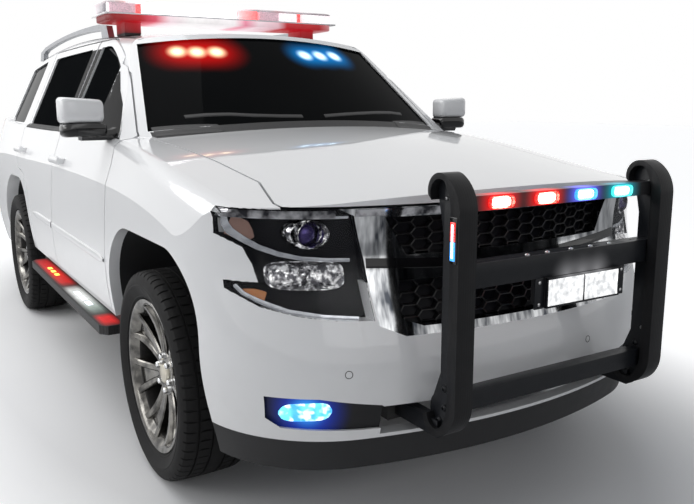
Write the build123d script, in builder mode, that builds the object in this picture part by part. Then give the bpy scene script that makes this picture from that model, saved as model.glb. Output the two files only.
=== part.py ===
"""Full-size sport utility vehicle for patrol work, with a push bar and a roof light bar.

Millimetres. +X is the vehicle's left, the nose faces -Y and +Z is up. The origin lies on the
ground under the middle of the overall box. A station is a length back from the front bumper.
"""

import os
from math import asin, atan2, cos, hypot, pi, radians, sin, tan

from build123d import *

os.makedirs("parts", exist_ok=True)

# ---------------------------------------------------------------- driving dimensions
BODY_LENGTH = 5182.0        # front bumper to rear bumper
PUSH_REACH = 165.0          # push bar ahead of the bumper
WHEELBASE = 2946.0
FRONT_OVERHANG = 1000.0
TRACK = 1745.0
TYRE_RADIUS = 407.5
TYRE_WIDTH = 285.0
RIM_SEAT = 279.4            # radius of a 22 inch bead seat
RIM_FLANGE = 297.0
RIM_HALF = 114.3            # half of the width between the flanges
SPINDLE_RADIUS = 30.0
RUNNING_FIT = 0.3           # radial clearance of spindles and kingpins
KINGPIN_OFFSET = 90.0       # kingpin inboard of the wheel's middle
KINGPIN_RADIUS = 14.0
ARCH_HALF = 505.0           # half of a wheel arch's length
ARCH_TOP = 948.0
WELL_INNER = 500.0          # front wheel well's inner wall
REAR_WELL_INNER = 690.0
WELL_WALL = 18.0

DOOR_THICK = 80.0           # door below the belt
FRAME_THICK = 42.0          # door frames, roof and pillars above the belt
PANEL_THICK = 45.0          # hood, front fenders and bumper
SHUT_GAP = 8.0              # round each opening panel
STOP_GAP = 0.3              # between a rubber stop and the shut panel
PANE_SET = 9.0              # glass behind the outside of its panel
PANE_THICK = 5.0

DOOR_FRONT = 1560.0         # front door's hinge edge
DOOR_MIDDLE = 2708.0        # rear door's hinge edge
DOOR_REAR = 3878.0          # rear door's latch edge
DOOR_BOTTOM = 525.0
DOOR_TOP = 1770.0
FRAME_LEAN = 16.0           # upper latch edges lean forward, which clears their swing
ROOM_LEAN = 6.0             # the same lean of the body behind those edges
DOOR_HEM = 14.0             # a door's skin overhangs its inner part at the latch edge
DOOR_FRAME = 22.0           # door frame between the windshield post and the glass
BELT = 1292.0               # lower edge of the side glass
GLASS_TOP = 1735.0
HINGE_LINE = 1008.0         # door hinge axes, out from the middle
ROOF_EDGE = 622.0           # inner edge of the door tops

SILL_BOTTOM = 430.0
BUMPER_SEAM = 890.0         # front fender over bumper
VALANCE_TOP = 395.0
VALANCE_BOTTOM = 285.0
HOOD_LIP = 1128.0           # lower edge of the hood's nose
GATE_FRONT = 4790.0         # liftgate's upper edge
GATE_BOTTOM = 672.0
REAR_SEAM = 660.0           # rear bumper's top

RAIL_INNER = 400.0
RAIL_OUTER = 480.0
RAIL_BOTTOM = 420.0
RAIL_TOP = 560.0
RAIL_KICK = 100.0           # rise of the rails over the rear axle
FLOOR_THICK = 40.0

ORIGIN_STATION = (BODY_LENGTH - PUSH_REACH) / 2
FRONT_AXLE = FRONT_OVERHANG
REAR_AXLE = FRONT_OVERHANG + WHEELBASE
WHEEL_X = TRACK / 2
KINGPIN_X = WHEEL_X - KINGPIN_OFFSET
FAR = 1200.0                # past every side of the body


def y_at(station):
    return station - ORIGIN_STATION


# ---------------------------------------------------------------- drawing helpers
def closed_line(points):
    """Closed line; (a, b) ends a straight run and (via a, via b, a, b) ends an arc."""
    here = points[-1][-2:]
    for point in points:
        if len(point) == 4:
            ThreePointArc(here, point[:2], point[2:])
        else:
            Line(here, point)
        here = point[-2:]


def moved(points, da, db):
    """The same points shifted by (da, db)."""
    return [tuple(value + (da, db)[i % 2] for i, value in enumerate(p)) for p in points]


def side_block(points, x_from, x_to, corner=0.0):
    """Solid with a side view drawn as (station, z)."""
    with BuildPart() as block:
        with BuildSketch(Plane.YZ.offset(x_from)):
            with BuildLine():
                closed_line(moved(points, -ORIGIN_STATION, 0))
            make_face()
            if corner:
                fillet(vertices(), corner)
        extrude(amount=x_to - x_from)
    return block.part


def front_block(points, s_from, s_to, corner=0.0):
    """Solid with a front view drawn as (x, z)."""
    with BuildPart() as block:
        with BuildSketch(Plane.XZ.offset(-y_at(s_to))):
            with BuildLine():
                closed_line(points)
            make_face()
            if corner:
                fillet(vertices(), corner)
        extrude(amount=s_to - s_from)
    return block.part


def top_block(points, z_from, z_to):
    """Solid with a top view drawn as (x, station)."""
    with BuildPart() as block:
        with BuildSketch(Plane.XY.offset(z_from)):
            with BuildLine():
                closed_line(moved(points, 0, -ORIGIN_STATION))
            make_face()
        extrude(amount=z_to - z_from)
    return block.part


def plain_box(x_from, x_to, s_from, s_to, z_from, z_to):
    outline = [(x_from, s_from), (x_to, s_from), (x_to, s_to), (x_from, s_to)]
    return top_block(outline, z_from, z_to)


def both_sides(points):
    """A half outline of (x, b) for +x, from low b to high b, closed over to -x."""
    mirrored = []
    ahead = None
    for point in reversed(points):
        mirrored.append((-point[-2], point[-1]) if ahead is None
                        else (-ahead[0], ahead[1], -point[-2], point[-1]))
        ahead = point[:2] if len(point) == 4 else None
    return list(points) + mirrored


def across_tube(s, z, radius, x_from, x_to):
    """Round bar along X."""
    with BuildPart() as tube:
        with BuildSketch(Plane.YZ.offset(x_from)):
            with Locations((y_at(s), z)):
                Circle(radius)
        extrude(amount=x_to - x_from)
    return tube.part


def upright_tube(x, s, radius, z_from, z_to):
    """Round bar along Z."""
    with BuildPart() as tube:
        with BuildSketch(Plane.XY.offset(z_from)):
            with Locations((x, y_at(s))):
                Circle(radius)
        extrude(amount=z_to - z_from)
    return tube.part


def joined(*solids):
    with BuildPart() as whole:
        for solid in solids:
            add(solid)
    return whole.part


def cut_from(solid, *tools):
    with BuildPart() as rest:
        add(solid)
        for tool in tools:
            add(tool, mode=Mode.SUBTRACT)
    return rest.part


def common(solid, *tools):
    with BuildPart() as shared:
        add(solid)
        for tool in tools:
            add(tool, mode=Mode.INTERSECT)
    return shared.part


def mirrored_to_right(solid):
    with BuildPart() as right:
        mirror(solid, about=Plane.YZ)
    return right.part


def pair(solid):
    """The left solid with its right twin."""
    with BuildPart() as two:
        add(solid)
        mirror(solid, about=Plane.YZ)
    return two.part


def save(name, solid):
    solid.label = name
    export_step(solid, f"parts/{name}.step")


# ---------------------------------------------------------------- outside form
# Level outlines of the lower body, lofted upwards:
# z, nose, corner x, corner back, side x, tail, tail corner x, tail corner back
PLAN = [
    (240, 70, 600, 85, 930, 5120, 740, 50),
    (450, 15, 600, 88, 972, 5170, 760, 50),
    (620, 0, 600, 90, 1000, 5182, 760, 50),
    (820, 50, 605, 92, 1006, 5150, 760, 55),
    (1100, 78, 610, 95, 985, 5105, 750, 60),
    (1400, 130, 610, 95, 945, 5040, 740, 60),
]
# Cross sections of hood and shoulders, lofted backwards:
# station, crown z, shoulder x, shoulder z, shoulder radius
SHOULDERS = [
    (-150, 1125, 925, 1050, 90),
    (250, 1187, 930, 1100, 100),
    (800, 1262, 940, 1175, 90),
    (1450, 1328, 925, 1265, 60),
    (2200, 1335, 918, 1295, 45),
    (3000, 1337, 915, 1300, 40),
    (3800, 1337, 912, 1300, 40),
    (4600, 1335, 908, 1300, 40),
    (5400, 1335, 903, 1300, 40),
]
SHOULDER_FALL = 71.0        # degrees of the side below the shoulder
SHOULDER_FOOT = 500.0
# Cross sections of the cabin above the belt, lofted backwards:
# station, crown z, roof edge x, roof edge z, foot x
CABIN = [
    (1100, 1650, 670, 1590, 940),
    (2000, 1785, 668, 1735, 942),
    (2900, 1846, 665, 1800, 942),
    (3800, 1846, 662, 1800, 936),
    (4600, 1800, 655, 1755, 915),
    (5300, 1735, 640, 1685, 880),
]
CABIN_FOOT = 1200.0
CANT_RADIUS = 95.0
WINDSHIELD_FOOT = (1405.0, 1325.0)      # station, z on the middle line
WINDSHIELD_HEAD = (2040.0, 1785.0)
WINDSHIELD_CURVE = 2600.0
BACK_GLASS_FOOT = (5065.0, 1290.0)
BACK_GLASS_RAKE = 72.0
BACK_GLASS_CURVE = 3600.0


def round_corner(x_in, back, x_out, end, sign):
    """Middle and end of the arc that runs on from an end's bow into the side."""
    bow = (x_in**2 + back**2) / (2 * back)
    lean = asin(x_in / bow)
    turn = (lean + pi / 2) / 2
    run = (x_out - x_in) * tan(turn)
    radius = hypot(x_out - x_in, run) / (2 * sin((pi / 2 - lean) / 2))
    middle_x = x_in + radius * (sin(turn) - sin(lean))
    middle_s = end + sign * (back + radius * (cos(lean) - cos(turn)))
    return (middle_x, y_at(middle_s)), (x_out, y_at(end + sign * (back + run)))


def level_outline(row, wall):
    z, nose, nose_x, nose_back, side, tail, tail_x, tail_back = row
    nose, side, tail = nose + wall, side - wall, tail - wall
    nose_x, tail_x = nose_x - wall / 2, tail_x - wall / 2
    nose_mid, nose_end = round_corner(nose_x, nose_back, side, nose, 1)
    tail_mid, tail_end = round_corner(tail_x, tail_back, side, tail, -1)
    half = [
        (0.0, y_at(nose)),
        (nose_x, y_at(nose + nose_back)),
        nose_mid,
        nose_end,
        tail_end,
        tail_mid,
        (tail_x, y_at(tail - tail_back)),
        (0.0, y_at(tail)),
    ]
    other = [(-x, y) for x, y in half]
    with BuildSketch(Plane.XY.offset(z)) as level:
        with BuildLine():
            ThreePointArc(other[1], half[0], half[1])
            ThreePointArc(half[1], half[2], half[3])
            Line(half[3], half[4])
            ThreePointArc(half[4], half[5], half[6])
            ThreePointArc(half[6], half[7], other[6])
            ThreePointArc(other[6], other[5], other[4])
            Line(other[4], other[3])
            ThreePointArc(other[3], other[2], other[1])
        make_face()
    return level.sketch


def shoulder_section(row, wall):
    station, crown, x, z, radius = row
    crown, x, z = crown - wall, x - wall, z - wall
    foot = x + (z - SHOULDER_FOOT) / tan(radians(SHOULDER_FALL))
    with BuildSketch(Plane.XZ.offset(-y_at(station))) as section:
        with BuildLine():
            closed_line([(-foot, 0), (foot, 0), (foot, SHOULDER_FOOT), (x, z),
                         (0, crown, -x, z), (-foot, SHOULDER_FOOT)])
        make_face()
        fillet(vertices().filter_by(lambda v: abs(v.Y - z) < 1), radius)
    return section.sketch


def cabin_section(row, wall):
    station, crown, x, z, foot = row
    crown, x, z, foot = crown - wall, x - wall, z - wall, foot - wall
    with BuildSketch(Plane.XZ.offset(-y_at(station))) as section:
        with BuildLine():
            closed_line([(-foot, CABIN_FOOT), (foot, CABIN_FOOT), (x, z), (0, crown, -x, z)])
        make_face()
        fillet(vertices().filter_by(lambda v: abs(v.Y - z) < 1), CANT_RADIUS)
    return section.sketch


def body_form(lower_wall, upper_wall):
    """The closed outside form, or the form that lies these walls inside it."""
    with BuildPart() as lower:
        loft([level_outline(row, lower_wall) for row in PLAN])
    with BuildPart() as shoulders:
        loft([shoulder_section(row, lower_wall) for row in SHOULDERS])
    rake = atan2(WINDSHIELD_HEAD[1] - WINDSHIELD_FOOT[1], WINDSHIELD_HEAD[0] - WINDSHIELD_FOOT[0])
    front_curve = Plane(
        origin=(0, y_at(WINDSHIELD_FOOT[0]) + WINDSHIELD_CURVE * sin(rake),
                WINDSHIELD_FOOT[1] - WINDSHIELD_CURVE * cos(rake)),
        x_dir=(1, 0, 0), z_dir=(0, cos(rake), sin(rake)))
    back = radians(BACK_GLASS_RAKE)
    back_curve = Plane(
        origin=(0, y_at(BACK_GLASS_FOOT[0]) - BACK_GLASS_CURVE * sin(back),
                BACK_GLASS_FOOT[1] - BACK_GLASS_CURVE * cos(back)),
        x_dir=(1, 0, 0), z_dir=(0, -cos(back), sin(back)))
    with BuildPart() as cabin:
        loft([cabin_section(row, upper_wall) for row in CABIN])
        with Locations(front_curve.location):
            Cylinder(WINDSHIELD_CURVE - upper_wall, 3 * BODY_LENGTH, mode=Mode.INTERSECT)
        with Locations(back_curve.location):
            Cylinder(BACK_GLASS_CURVE - upper_wall, 3 * BODY_LENGTH, mode=Mode.INTERSECT)
    with BuildPart() as form:
        add(lower.part)
        add(shoulders.part, mode=Mode.INTERSECT)
        add(cabin.part)
    return form.part


outside = body_form(0, 0)
behind_panels = body_form(PANEL_THICK, FRAME_THICK)
behind_doors = body_form(DOOR_THICK, FRAME_THICK)
door_seat = body_form(DOOR_THICK + SHUT_GAP, FRAME_THICK + SHUT_GAP)
glass_face = body_form(PANE_SET, PANE_SET)
glass_back = body_form(PANE_SET + PANE_THICK, PANE_SET + PANE_THICK)

# ---------------------------------------------------------------- outlines of the openings
# Side views as (station, z), from the lower front corner round by the top.
FRONT_DOOR = [
    (DOOR_FRONT, DOOR_BOTTOM),
    (DOOR_FRONT, 1180),
    (DOOR_FRONT + 40, 1310),
    (1990, 1600, 2330, DOOR_TOP - 30),
    (2450, DOOR_TOP - 4, 2560, DOOR_TOP),
    (DOOR_MIDDLE - SHUT_GAP - FRAME_LEAN, DOOR_TOP),
    (DOOR_MIDDLE - SHUT_GAP, BELT),
    (DOOR_MIDDLE - SHUT_GAP, DOOR_BOTTOM),
]
REAR_DOOR = [
    (DOOR_MIDDLE, DOOR_BOTTOM),
    (DOOR_MIDDLE, DOOR_TOP),
    (DOOR_REAR - FRAME_LEAN, DOOR_TOP),
    (DOOR_REAR, BELT),
    (DOOR_REAR, 1120),
    (DOOR_REAR - 20, 1045, DOOR_REAR - 100, 1010),
    (3480, 880, 3372, 640),
    (3372, DOOR_BOTTOM),
]
# The body's room for a door leans less at the upper latch corner than the door does.
FRONT_ROOM = (FRONT_DOOR[:5] + [(DOOR_MIDDLE - SHUT_GAP - ROOM_LEAN, DOOR_TOP)]
              + FRONT_DOOR[6:])
REAR_ROOM = REAR_DOOR[:2] + [(DOOR_REAR - ROOM_LEAN, DOOR_TOP)] + REAR_DOOR[3:]
FRONT_GLASS = [
    (1668, BELT),
    (1668, BELT + 20),
    (2030, 1571, 2370, 1715),
    (2440, GLASS_TOP - 3, 2520, GLASS_TOP),
    (2610, GLASS_TOP),
    (2625, BELT),
]
REAR_GLASS = [
    (2790, BELT),
    (2790, GLASS_TOP),
    (3795, GLASS_TOP - 5),
    (3812, BELT),
]
QUARTER_GLASS = [
    (4128, BELT + 12),
    (4115, GLASS_TOP - 5),
    (4730, 1688),
    (4795, BELT + 12),
]
# Front view as half an outline of (x, z), from the bottom up.
WINDSHIELD = both_sides([(778, 1312), (655, 1722)])
WINDSHIELD[0] = (0, 1352, 778, 1312)
WINDSHIELD[2] = (0, 1768, -655, 1722)
BACK_GLASS = both_sides([(672, 1305), (575, 1660)])
PILLAR_WIDTH = 36.0         # post between the windshield and the front door
PILLAR_END = 2110.0


def pillar_zone(width):
    """The windshield with a post of this width at each side."""
    half = [(x + width, z) for x, z in [(785, 1200), (778, 1312), (655, 1722)]]
    return front_block(both_sides(half), 1300, PILLAR_END)


def swing_room(points):
    """Side outline grown by the shut gap, as a cut that stops behind the door's back."""
    with BuildPart() as room:
        with BuildSketch(Plane.YZ.offset(ROOF_EDGE - SHUT_GAP)):
            with BuildLine():
                closed_line(moved(points, -ORIGIN_STATION, 0))
            make_face()
            offset(amount=SHUT_GAP, kind=Kind.INTERSECTION)
        extrude(amount=FAR)
        add(door_seat, mode=Mode.SUBTRACT)
        add(pillar_zone(PILLAR_WIDTH), mode=Mode.SUBTRACT)
    return room.part


def wheel_well(axle, inner, corner, grow=0.0):
    """Room round one left wheel, open below and outwards."""
    half = ARCH_HALF + grow
    top = ARCH_TOP + grow
    with BuildPart() as well:
        with BuildSketch(Plane.YZ.offset(inner - grow)):
            with BuildLine():
                closed_line([(y_at(axle - half), 0), (y_at(axle + half), 0),
                             (y_at(axle + half), top), (y_at(axle - half), top)])
            make_face()
            fillet(vertices().filter_by(lambda v: v.Y > top - 1), corner + grow)
        extrude(amount=FAR - inner)
    return well.part


FRONT_ARCH_CORNER = 280.0
REAR_ARCH_CORNER = 400.0
front_well = wheel_well(FRONT_AXLE, WELL_INNER, FRONT_ARCH_CORNER)
rear_well = wheel_well(REAR_AXLE, REAR_WELL_INNER, REAR_ARCH_CORNER)

# ---------------------------------------------------------------- doors and their glass
HANDLE_LENGTH = 225.0
HANDLE_Z = 1140.0
HANDLE_OUT = 34.0           # grip's middle, out from the skin
HANDLE_BACK = 60.0          # from the latch edge to the handle
# name, outline, glass outline, glass corner radius, latch edge
DOORS = [
    ("front", FRONT_DOOR, FRONT_GLASS, 0, DOOR_MIDDLE - SHUT_GAP),
    ("rear", REAR_DOOR, REAR_GLASS, 25, DOOR_REAR),
]
SKIN_AT_HANDLE = 969.0      # side skin's distance from the middle at the handles
GRIP_RADIUS = 11.0


def pull_handle(latch):
    """Bar with two feet, which end inside the door's skin."""
    rear = latch - HANDLE_BACK
    front = rear - HANDLE_LENGTH
    grip_x = SKIN_AT_HANDLE + HANDLE_OUT
    with BuildPart() as handle:
        with BuildSketch(Plane.XZ.offset(-y_at(rear))):
            with Locations((grip_x, HANDLE_Z)):
                Ellipse(GRIP_RADIUS, 1.7 * GRIP_RADIUS)
        extrude(amount=HANDLE_LENGTH)
        for foot in (front + 25, rear - 25):
            with BuildSketch(Plane.YZ.offset(SKIN_AT_HANDLE - 30)):
                with Locations((y_at(foot), HANDLE_Z)):
                    Rectangle(34, 26)
            extrude(amount=grip_x - SKIN_AT_HANDLE + 30)
    return handle.part


wall_zone = cut_from(outside, behind_doors)
pane_zone = cut_from(glass_face, glass_back)
for name, outline, glass_outline, glass_corner, latch in DOORS:
    blank = cut_from(common(wall_zone, side_block(outline, ROOF_EDGE + SHUT_GAP, FAR)),
                     pillar_zone(PILLAR_WIDTH + SHUT_GAP))
    window = cut_from(side_block(glass_outline, ROOF_EDGE - 60, FAR, glass_corner),
                      pillar_zone(PILLAR_WIDTH + SHUT_GAP + DOOR_FRAME))
    hem = common(glass_back, plain_box(0, FAR, latch - DOOR_HEM, latch + 1, DOOR_BOTTOM - 1, BELT))
    door = joined(cut_from(blank, window, hem), pull_handle(latch))
    pane = common(pane_zone, window)
    save(f"door_{name}_left", door)
    save(f"door_{name}_right", mirrored_to_right(door))
    save(f"door_glass_{name}_left", pane)
    save(f"door_glass_{name}_right", mirrored_to_right(pane))

# ---------------------------------------------------------------- body sides
# Left side region: what lies outboard of the roof, behind the fender.
INNER_SILL = 770.0
OUTER_SILL = 930.0
ROCKER_SEAT = 880.0         # width of the rocker's top under the sill
SILL_TOP = 600.0
PILLAR_DEPTH = 70.0
PILLAR_LINE = [(845, 540), (FAR, 540), (FAR, 1790), (560, 1790), (800, 1190)]
# station from, station to of the posts behind the door edges
POSTS = [(DOOR_FRONT - 30, DOOR_FRONT + 40), (DOOR_MIDDLE - 60, DOOR_MIDDLE + 60)]
# Notch in the front post, where the door's front edge swings in under the windshield post.
POST_NOTCH = plain_box(828, FAR, DOOR_FRONT + 12, DOOR_FRONT + 41, CABIN_FOOT - 5, 1300)
TAIL_LAMP = [(792, 985), (FAR, 985), (FAR, 1318), (770, 1318)]
TAIL_LAMP_FRONT = 4905.0
# Rear view of the liftgate, half outline of (x, z).
GATE_HALF = [(772, GATE_BOTTOM), (772, 960), (757, 1318), (708, 1450), (612, 1690), (600, 1900)]
GATE_GAP = 6.0
GATE_HEM = 14.0             # the gate's skin overhangs its inner part at the sides
GATE_HEM_Z = (1150, 1735)


def gate_outline(grow):
    return both_sides([(x + grow, z - (grow if z == GATE_BOTTOM else 0)) for x, z in GATE_HALF])


gate_opening = front_block(gate_outline(GATE_GAP), GATE_FRONT - GATE_GAP, BODY_LENGTH + 100)
tail_lamp_zone = front_block(TAIL_LAMP, TAIL_LAMP_FRONT, BODY_LENGTH + 100, corner=20)
bumper_zone_rear = plain_box(-FAR, FAR, REAR_AXLE + ARCH_HALF + 10, BODY_LENGTH + 100,
                             0, REAR_SEAM)
windshield_zone = front_block(WINDSHIELD, 1300, 2400)
quarter_zone = side_block(QUARTER_GLASS, 500, FAR, corner=30)
roof_zone = plain_box(-ROOF_EDGE, ROOF_EDGE, 1800, GATE_FRONT - GATE_GAP, 1600, 2000)

side_zone = plain_box(INNER_SILL, FAR, DOOR_FRONT - SHUT_GAP, BODY_LENGTH + 10, DOOR_BOTTOM, 1310)
upper_zone = plain_box(500, FAR, 1480, BODY_LENGTH + 10, 1310, 2000)
side_wall = common(wall_zone, joined(side_zone, upper_zone))
sill = common(behind_doors, plain_box(INNER_SILL, FAR, DOOR_FRONT - SHUT_GAP,
                                      REAR_AXLE - ARCH_HALF - WELL_WALL, DOOR_BOTTOM, SILL_TOP))
rocker = joined(
    plain_box(INNER_SILL, OUTER_SILL, FRONT_AXLE + ARCH_HALF, REAR_AXLE - ARCH_HALF,
              SILL_BOTTOM, DOOR_BOTTOM - SHUT_GAP),
    plain_box(INNER_SILL, ROCKER_SEAT, FRONT_AXLE + ARCH_HALF + 80, REAR_AXLE - ARCH_HALF,
              SILL_BOTTOM, DOOR_BOTTOM))
posts = [common(behind_panels, front_block(PILLAR_LINE, s_from, s_to)) for s_from, s_to in POSTS]
body_side = cut_from(
    joined(side_wall, sill, *posts),
    swing_room(FRONT_ROOM), swing_room(REAR_ROOM), POST_NOTCH, rear_well, gate_opening,
    tail_lamp_zone, bumper_zone_rear, windshield_zone, quarter_zone, roof_zone)

back_window = front_block(BACK_GLASS, 4800, BODY_LENGTH + 100, corner=40)
gate_blank = common(wall_zone, front_block(gate_outline(0), GATE_FRONT, BODY_LENGTH + 100))
gate_hem = common(glass_back, cut_from(
    plain_box(-FAR, FAR, GATE_FRONT - 1, BODY_LENGTH + 100, *GATE_HEM_Z),
    front_block(gate_outline(-GATE_HEM), GATE_FRONT - 100, BODY_LENGTH + 200)))
liftgate = cut_from(gate_blank, back_window, gate_hem)
gate_stop = cut_from(common(behind_doors, plain_box(690, 820, 4840, 5050, 900, 930)),
                     Pos(0, -STOP_GAP, 0) * liftgate)
save("body_sides", pair(joined(body_side, gate_stop)))

quarter_pane = common(pane_zone, quarter_zone)
windshield_pane = common(pane_zone, windshield_zone)
save("fixed_glass", joined(windshield_pane, pair(quarter_pane)))
tail_lamp = cut_from(common(wall_zone, tail_lamp_zone, plain_box(0, FAR, 4000, 6000, 0, 2000)),
                     gate_opening)
save("tail_lamps", pair(tail_lamp))

# ---------------------------------------------------------------- roof
roof = cut_from(common(wall_zone, roof_zone), windshield_zone)
save("roof_panel", roof)

# ---------------------------------------------------------------- liftgate
save("liftgate", liftgate)
save("liftgate_glass", common(pane_zone, back_window))

# ---------------------------------------------------------------- hood, fenders and cowl
# Top view as half an outline of (x, station), from the nose back.
HOOD_HALF = [(785, -200), (785, 325), (722, 560), (735, 900), (792, 1492)]
HOOD_REAR_MIDDLE = 1382.0
hood_front_zone = plain_box(-FAR, FAR, -200, 600, 0, HOOD_LIP)


def hood_block(grow, z_from, z_to):
    """Everything over or under the hood's plan, grown by a gap."""
    outline = both_sides([(x + grow, s + (grow if s > 1000 else 0)) for x, s in HOOD_HALF])
    rear_x, rear_s = HOOD_HALF[-1]
    outline[len(HOOD_HALF)] = (0, HOOD_REAR_MIDDLE + grow, -rear_x - grow, rear_s + grow)
    return top_block(outline, z_from, z_to)


front_shell = cut_from(outside, behind_panels)
hood = cut_from(common(front_shell, hood_block(0, 900, 1400)), hood_front_zone)
save("hood", hood)
hood_opening = cut_from(hood_block(SHUT_GAP, 900, 1500),
                        plain_box(-FAR, FAR, -300, 600, 0, HOOD_LIP - SHUT_GAP))

cowl_zone = plain_box(-770, 770, 1370, 1700, 1150, 1400)
cowl = cut_from(common(wall_zone, cowl_zone), hood_opening, windshield_zone, upper_zone,
                mirrored_to_right(upper_zone))

# ---------------------------------------------------------------- nose: lamps, grille, bumper
# Front view outline of the left headlamp, (x, z).
HEADLAMP = [
    (556, 776), (645, 780), (765, 797), (858, 822), (925, 868), (925, 893), (850, 893),
    (862, 955), (880, 1002), (935, 1036), (935, HOOD_LIP - SHUT_GAP), (648, HOOD_LIP - SHUT_GAP),
    (602, 1101), (570, 965),
]
LAMP_REACH = 470.0          # rearmost station of the headlamps
GRILLE_REACH = 200.0
GRILLE_HALF = [(462, 722), (545, 760), (567, 965), (596, 1098), (640, HOOD_LIP - SHUT_GAP)]
FOG_HALF = [(545, 430), (822, 440), (860, 470), (866, 545), (735, 545), (545, 512)]
LOWER_INTAKE = both_sides([(545, 408), (545, 508)])

headlamp_zone = front_block(HEADLAMP, -200, LAMP_REACH)
grille_zone = front_block(both_sides(GRILLE_HALF), -200, GRILLE_REACH)
fog_zone = front_block(FOG_HALF, -200, 420)
intake_zone = front_block(LOWER_INTAKE, -200, 300)
nose_wall = common(cut_from(outside, behind_doors), plain_box(-FAR, FAR, -200, 700, 0, 1400))

headlamp = cut_from(common(nose_wall, headlamp_zone), hood_opening)
save("headlamps", pair(headlamp))

fender_zone = plain_box(655, FAR, 200, DOOR_FRONT - SHUT_GAP, BUMPER_SEAM, 1400)
fender_low = plain_box(700, FAR, FRONT_AXLE, DOOR_FRONT - SHUT_GAP, DOOR_BOTTOM, BUMPER_SEAM)
fender = cut_from(joined(common(front_shell, fender_zone), common(front_shell, fender_low)),
                  hood_opening, headlamp_zone, grille_zone, front_well, cowl_zone,
                  windshield_zone, upper_zone)
hood_stop = cut_from(common(behind_panels, plain_box(700, 790, 860, 900, 1140, 1300)),
                     Pos(0, 0, -STOP_GAP) * hood)
save("front_fenders", pair(joined(fender, hood_stop)))
save("cowl", cowl)

bumper_zone = plain_box(-FAR, FAR, -200, FRONT_AXLE - ARCH_HALF + 120, VALANCE_TOP, BUMPER_SEAM)
bumper = cut_from(common(front_shell, bumper_zone), headlamp_zone,
                  mirrored_to_right(headlamp_zone), grille_zone, fog_zone,
                  mirrored_to_right(fog_zone), intake_zone, front_well,
                  mirrored_to_right(front_well))
save("front_bumper", bumper)
valance_zone = plain_box(-FAR, FAR, -200, FRONT_AXLE - ARCH_HALF + 60, VALANCE_BOTTOM, VALANCE_TOP)
valance = cut_from(common(front_shell, valance_zone), front_well, mirrored_to_right(front_well))
save("front_valance", valance)

# Bright surround: openings as front views, half outlines of (x, z).
UPPER_MESH = [(428, 968), (500, 1090)]
LOWER_MESH = [(400, 748), (470, 775), (462, 890)]
grille_holes = [front_block(both_sides(half), -200, GRILLE_REACH)
                for half in (UPPER_MESH, LOWER_MESH)]
save("grille_surround", cut_from(common(front_shell, grille_zone), *grille_holes))
mesh_zone = common(cut_from(behind_panels, behind_doors),
                   front_block(both_sides([(440, 735), (500, 1100)]), -200, GRILLE_REACH))
save("grille_mesh", mesh_zone)
fog_lamp = common(cut_from(glass_face, behind_doors), fog_zone)
save("fog_lamps", pair(fog_lamp))

# ---------------------------------------------------------------- rear bumper
rear_bumper = cut_from(common(wall_zone, bumper_zone_rear, plain_box(-FAR, FAR, 4000, 5300, 366, 700)),
                       gate_opening)
save("rear_bumper", rear_bumper)

# ---------------------------------------------------------------- ladder frame and front arms
ARM_HALF = 30.0
ARM_THICK = 30.0
KNUCKLE_HALF = 110.0        # half of a knuckle's height
JOINT_GAP = 5.0
FRAME_FRONT = 150.0
FRAME_REAR = 5050.0
RAIL_LINE = [
    (FRAME_FRONT, RAIL_BOTTOM), (3460, RAIL_BOTTOM), (3620, RAIL_BOTTOM + RAIL_KICK),
    (4350, RAIL_BOTTOM + RAIL_KICK), (4500, RAIL_BOTTOM + 60), (FRAME_REAR, RAIL_BOTTOM + 60),
    (FRAME_REAR, RAIL_TOP + 60), (4500, RAIL_TOP + 60), (4350, RAIL_TOP + RAIL_KICK),
    (3620, RAIL_TOP + RAIL_KICK), (3460, RAIL_TOP), (FRAME_FRONT, RAIL_TOP),
]
# station from, station to, z from, z to of the members between the rails
CROSS_MEMBERS = [
    (200, 290, 430, 540),
    (1500, 1590, 430, 520),
    (2450, 2540, 430, 540),
    (3120, 3210, 430, 540),
    (4500, 4600, 490, 600),
    (4940, 5040, 490, 600),
]
ARM_LOW = TYRE_RADIUS - KNUCKLE_HALF - JOINT_GAP - ARM_THICK
ARM_HIGH = TYRE_RADIUS + KNUCKLE_HALF + JOINT_GAP
RECEIVER_OUTER = 64.0
RECEIVER_BORE = 51.0
RECEIVER_Z = 330.0
RECEIVER_END = 5150.0

rail = side_block(RAIL_LINE, RAIL_INNER, RAIL_OUTER)
members = [plain_box(-RAIL_INNER, RAIL_INNER, *row) for row in CROSS_MEMBERS]
axle_member = plain_box(-RAIL_OUTER, RAIL_OUTER, FRONT_AXLE - 60, FRONT_AXLE + 60,
                        ARM_LOW, ARM_LOW + ARM_THICK + 20)
hanger = plain_box(RAIL_INNER, RAIL_OUTER, FRONT_AXLE - 60, FRONT_AXLE + 60, ARM_LOW, RAIL_BOTTOM)
arms = [plain_box(RAIL_OUTER, KINGPIN_X, FRONT_AXLE - ARM_HALF, FRONT_AXLE + ARM_HALF,
                  z, z + ARM_THICK) for z in (ARM_LOW, ARM_HIGH)]
eyes = [upright_tube(KINGPIN_X, FRONT_AXLE, ARM_HALF, z, z + ARM_THICK)
        for z in (ARM_LOW, ARM_HIGH)]
kingpin = upright_tube(KINGPIN_X, FRONT_AXLE, KINGPIN_RADIUS, ARM_LOW, ARM_HIGH + ARM_THICK)
receiver = cut_from(
    front_block(both_sides([(RECEIVER_OUTER / 2, RECEIVER_Z - RECEIVER_OUTER / 2),
                            (RECEIVER_OUTER / 2, RECEIVER_Z + RECEIVER_OUTER / 2)]),
                4920, RECEIVER_END),
    front_block(both_sides([(RECEIVER_BORE / 2, RECEIVER_Z - RECEIVER_BORE / 2),
                            (RECEIVER_BORE / 2, RECEIVER_Z + RECEIVER_BORE / 2)]),
                4960, RECEIVER_END))
receiver_drop = plain_box(-60, 60, 4950, 5030, RECEIVER_Z + RECEIVER_OUTER / 2, 490)
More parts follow.
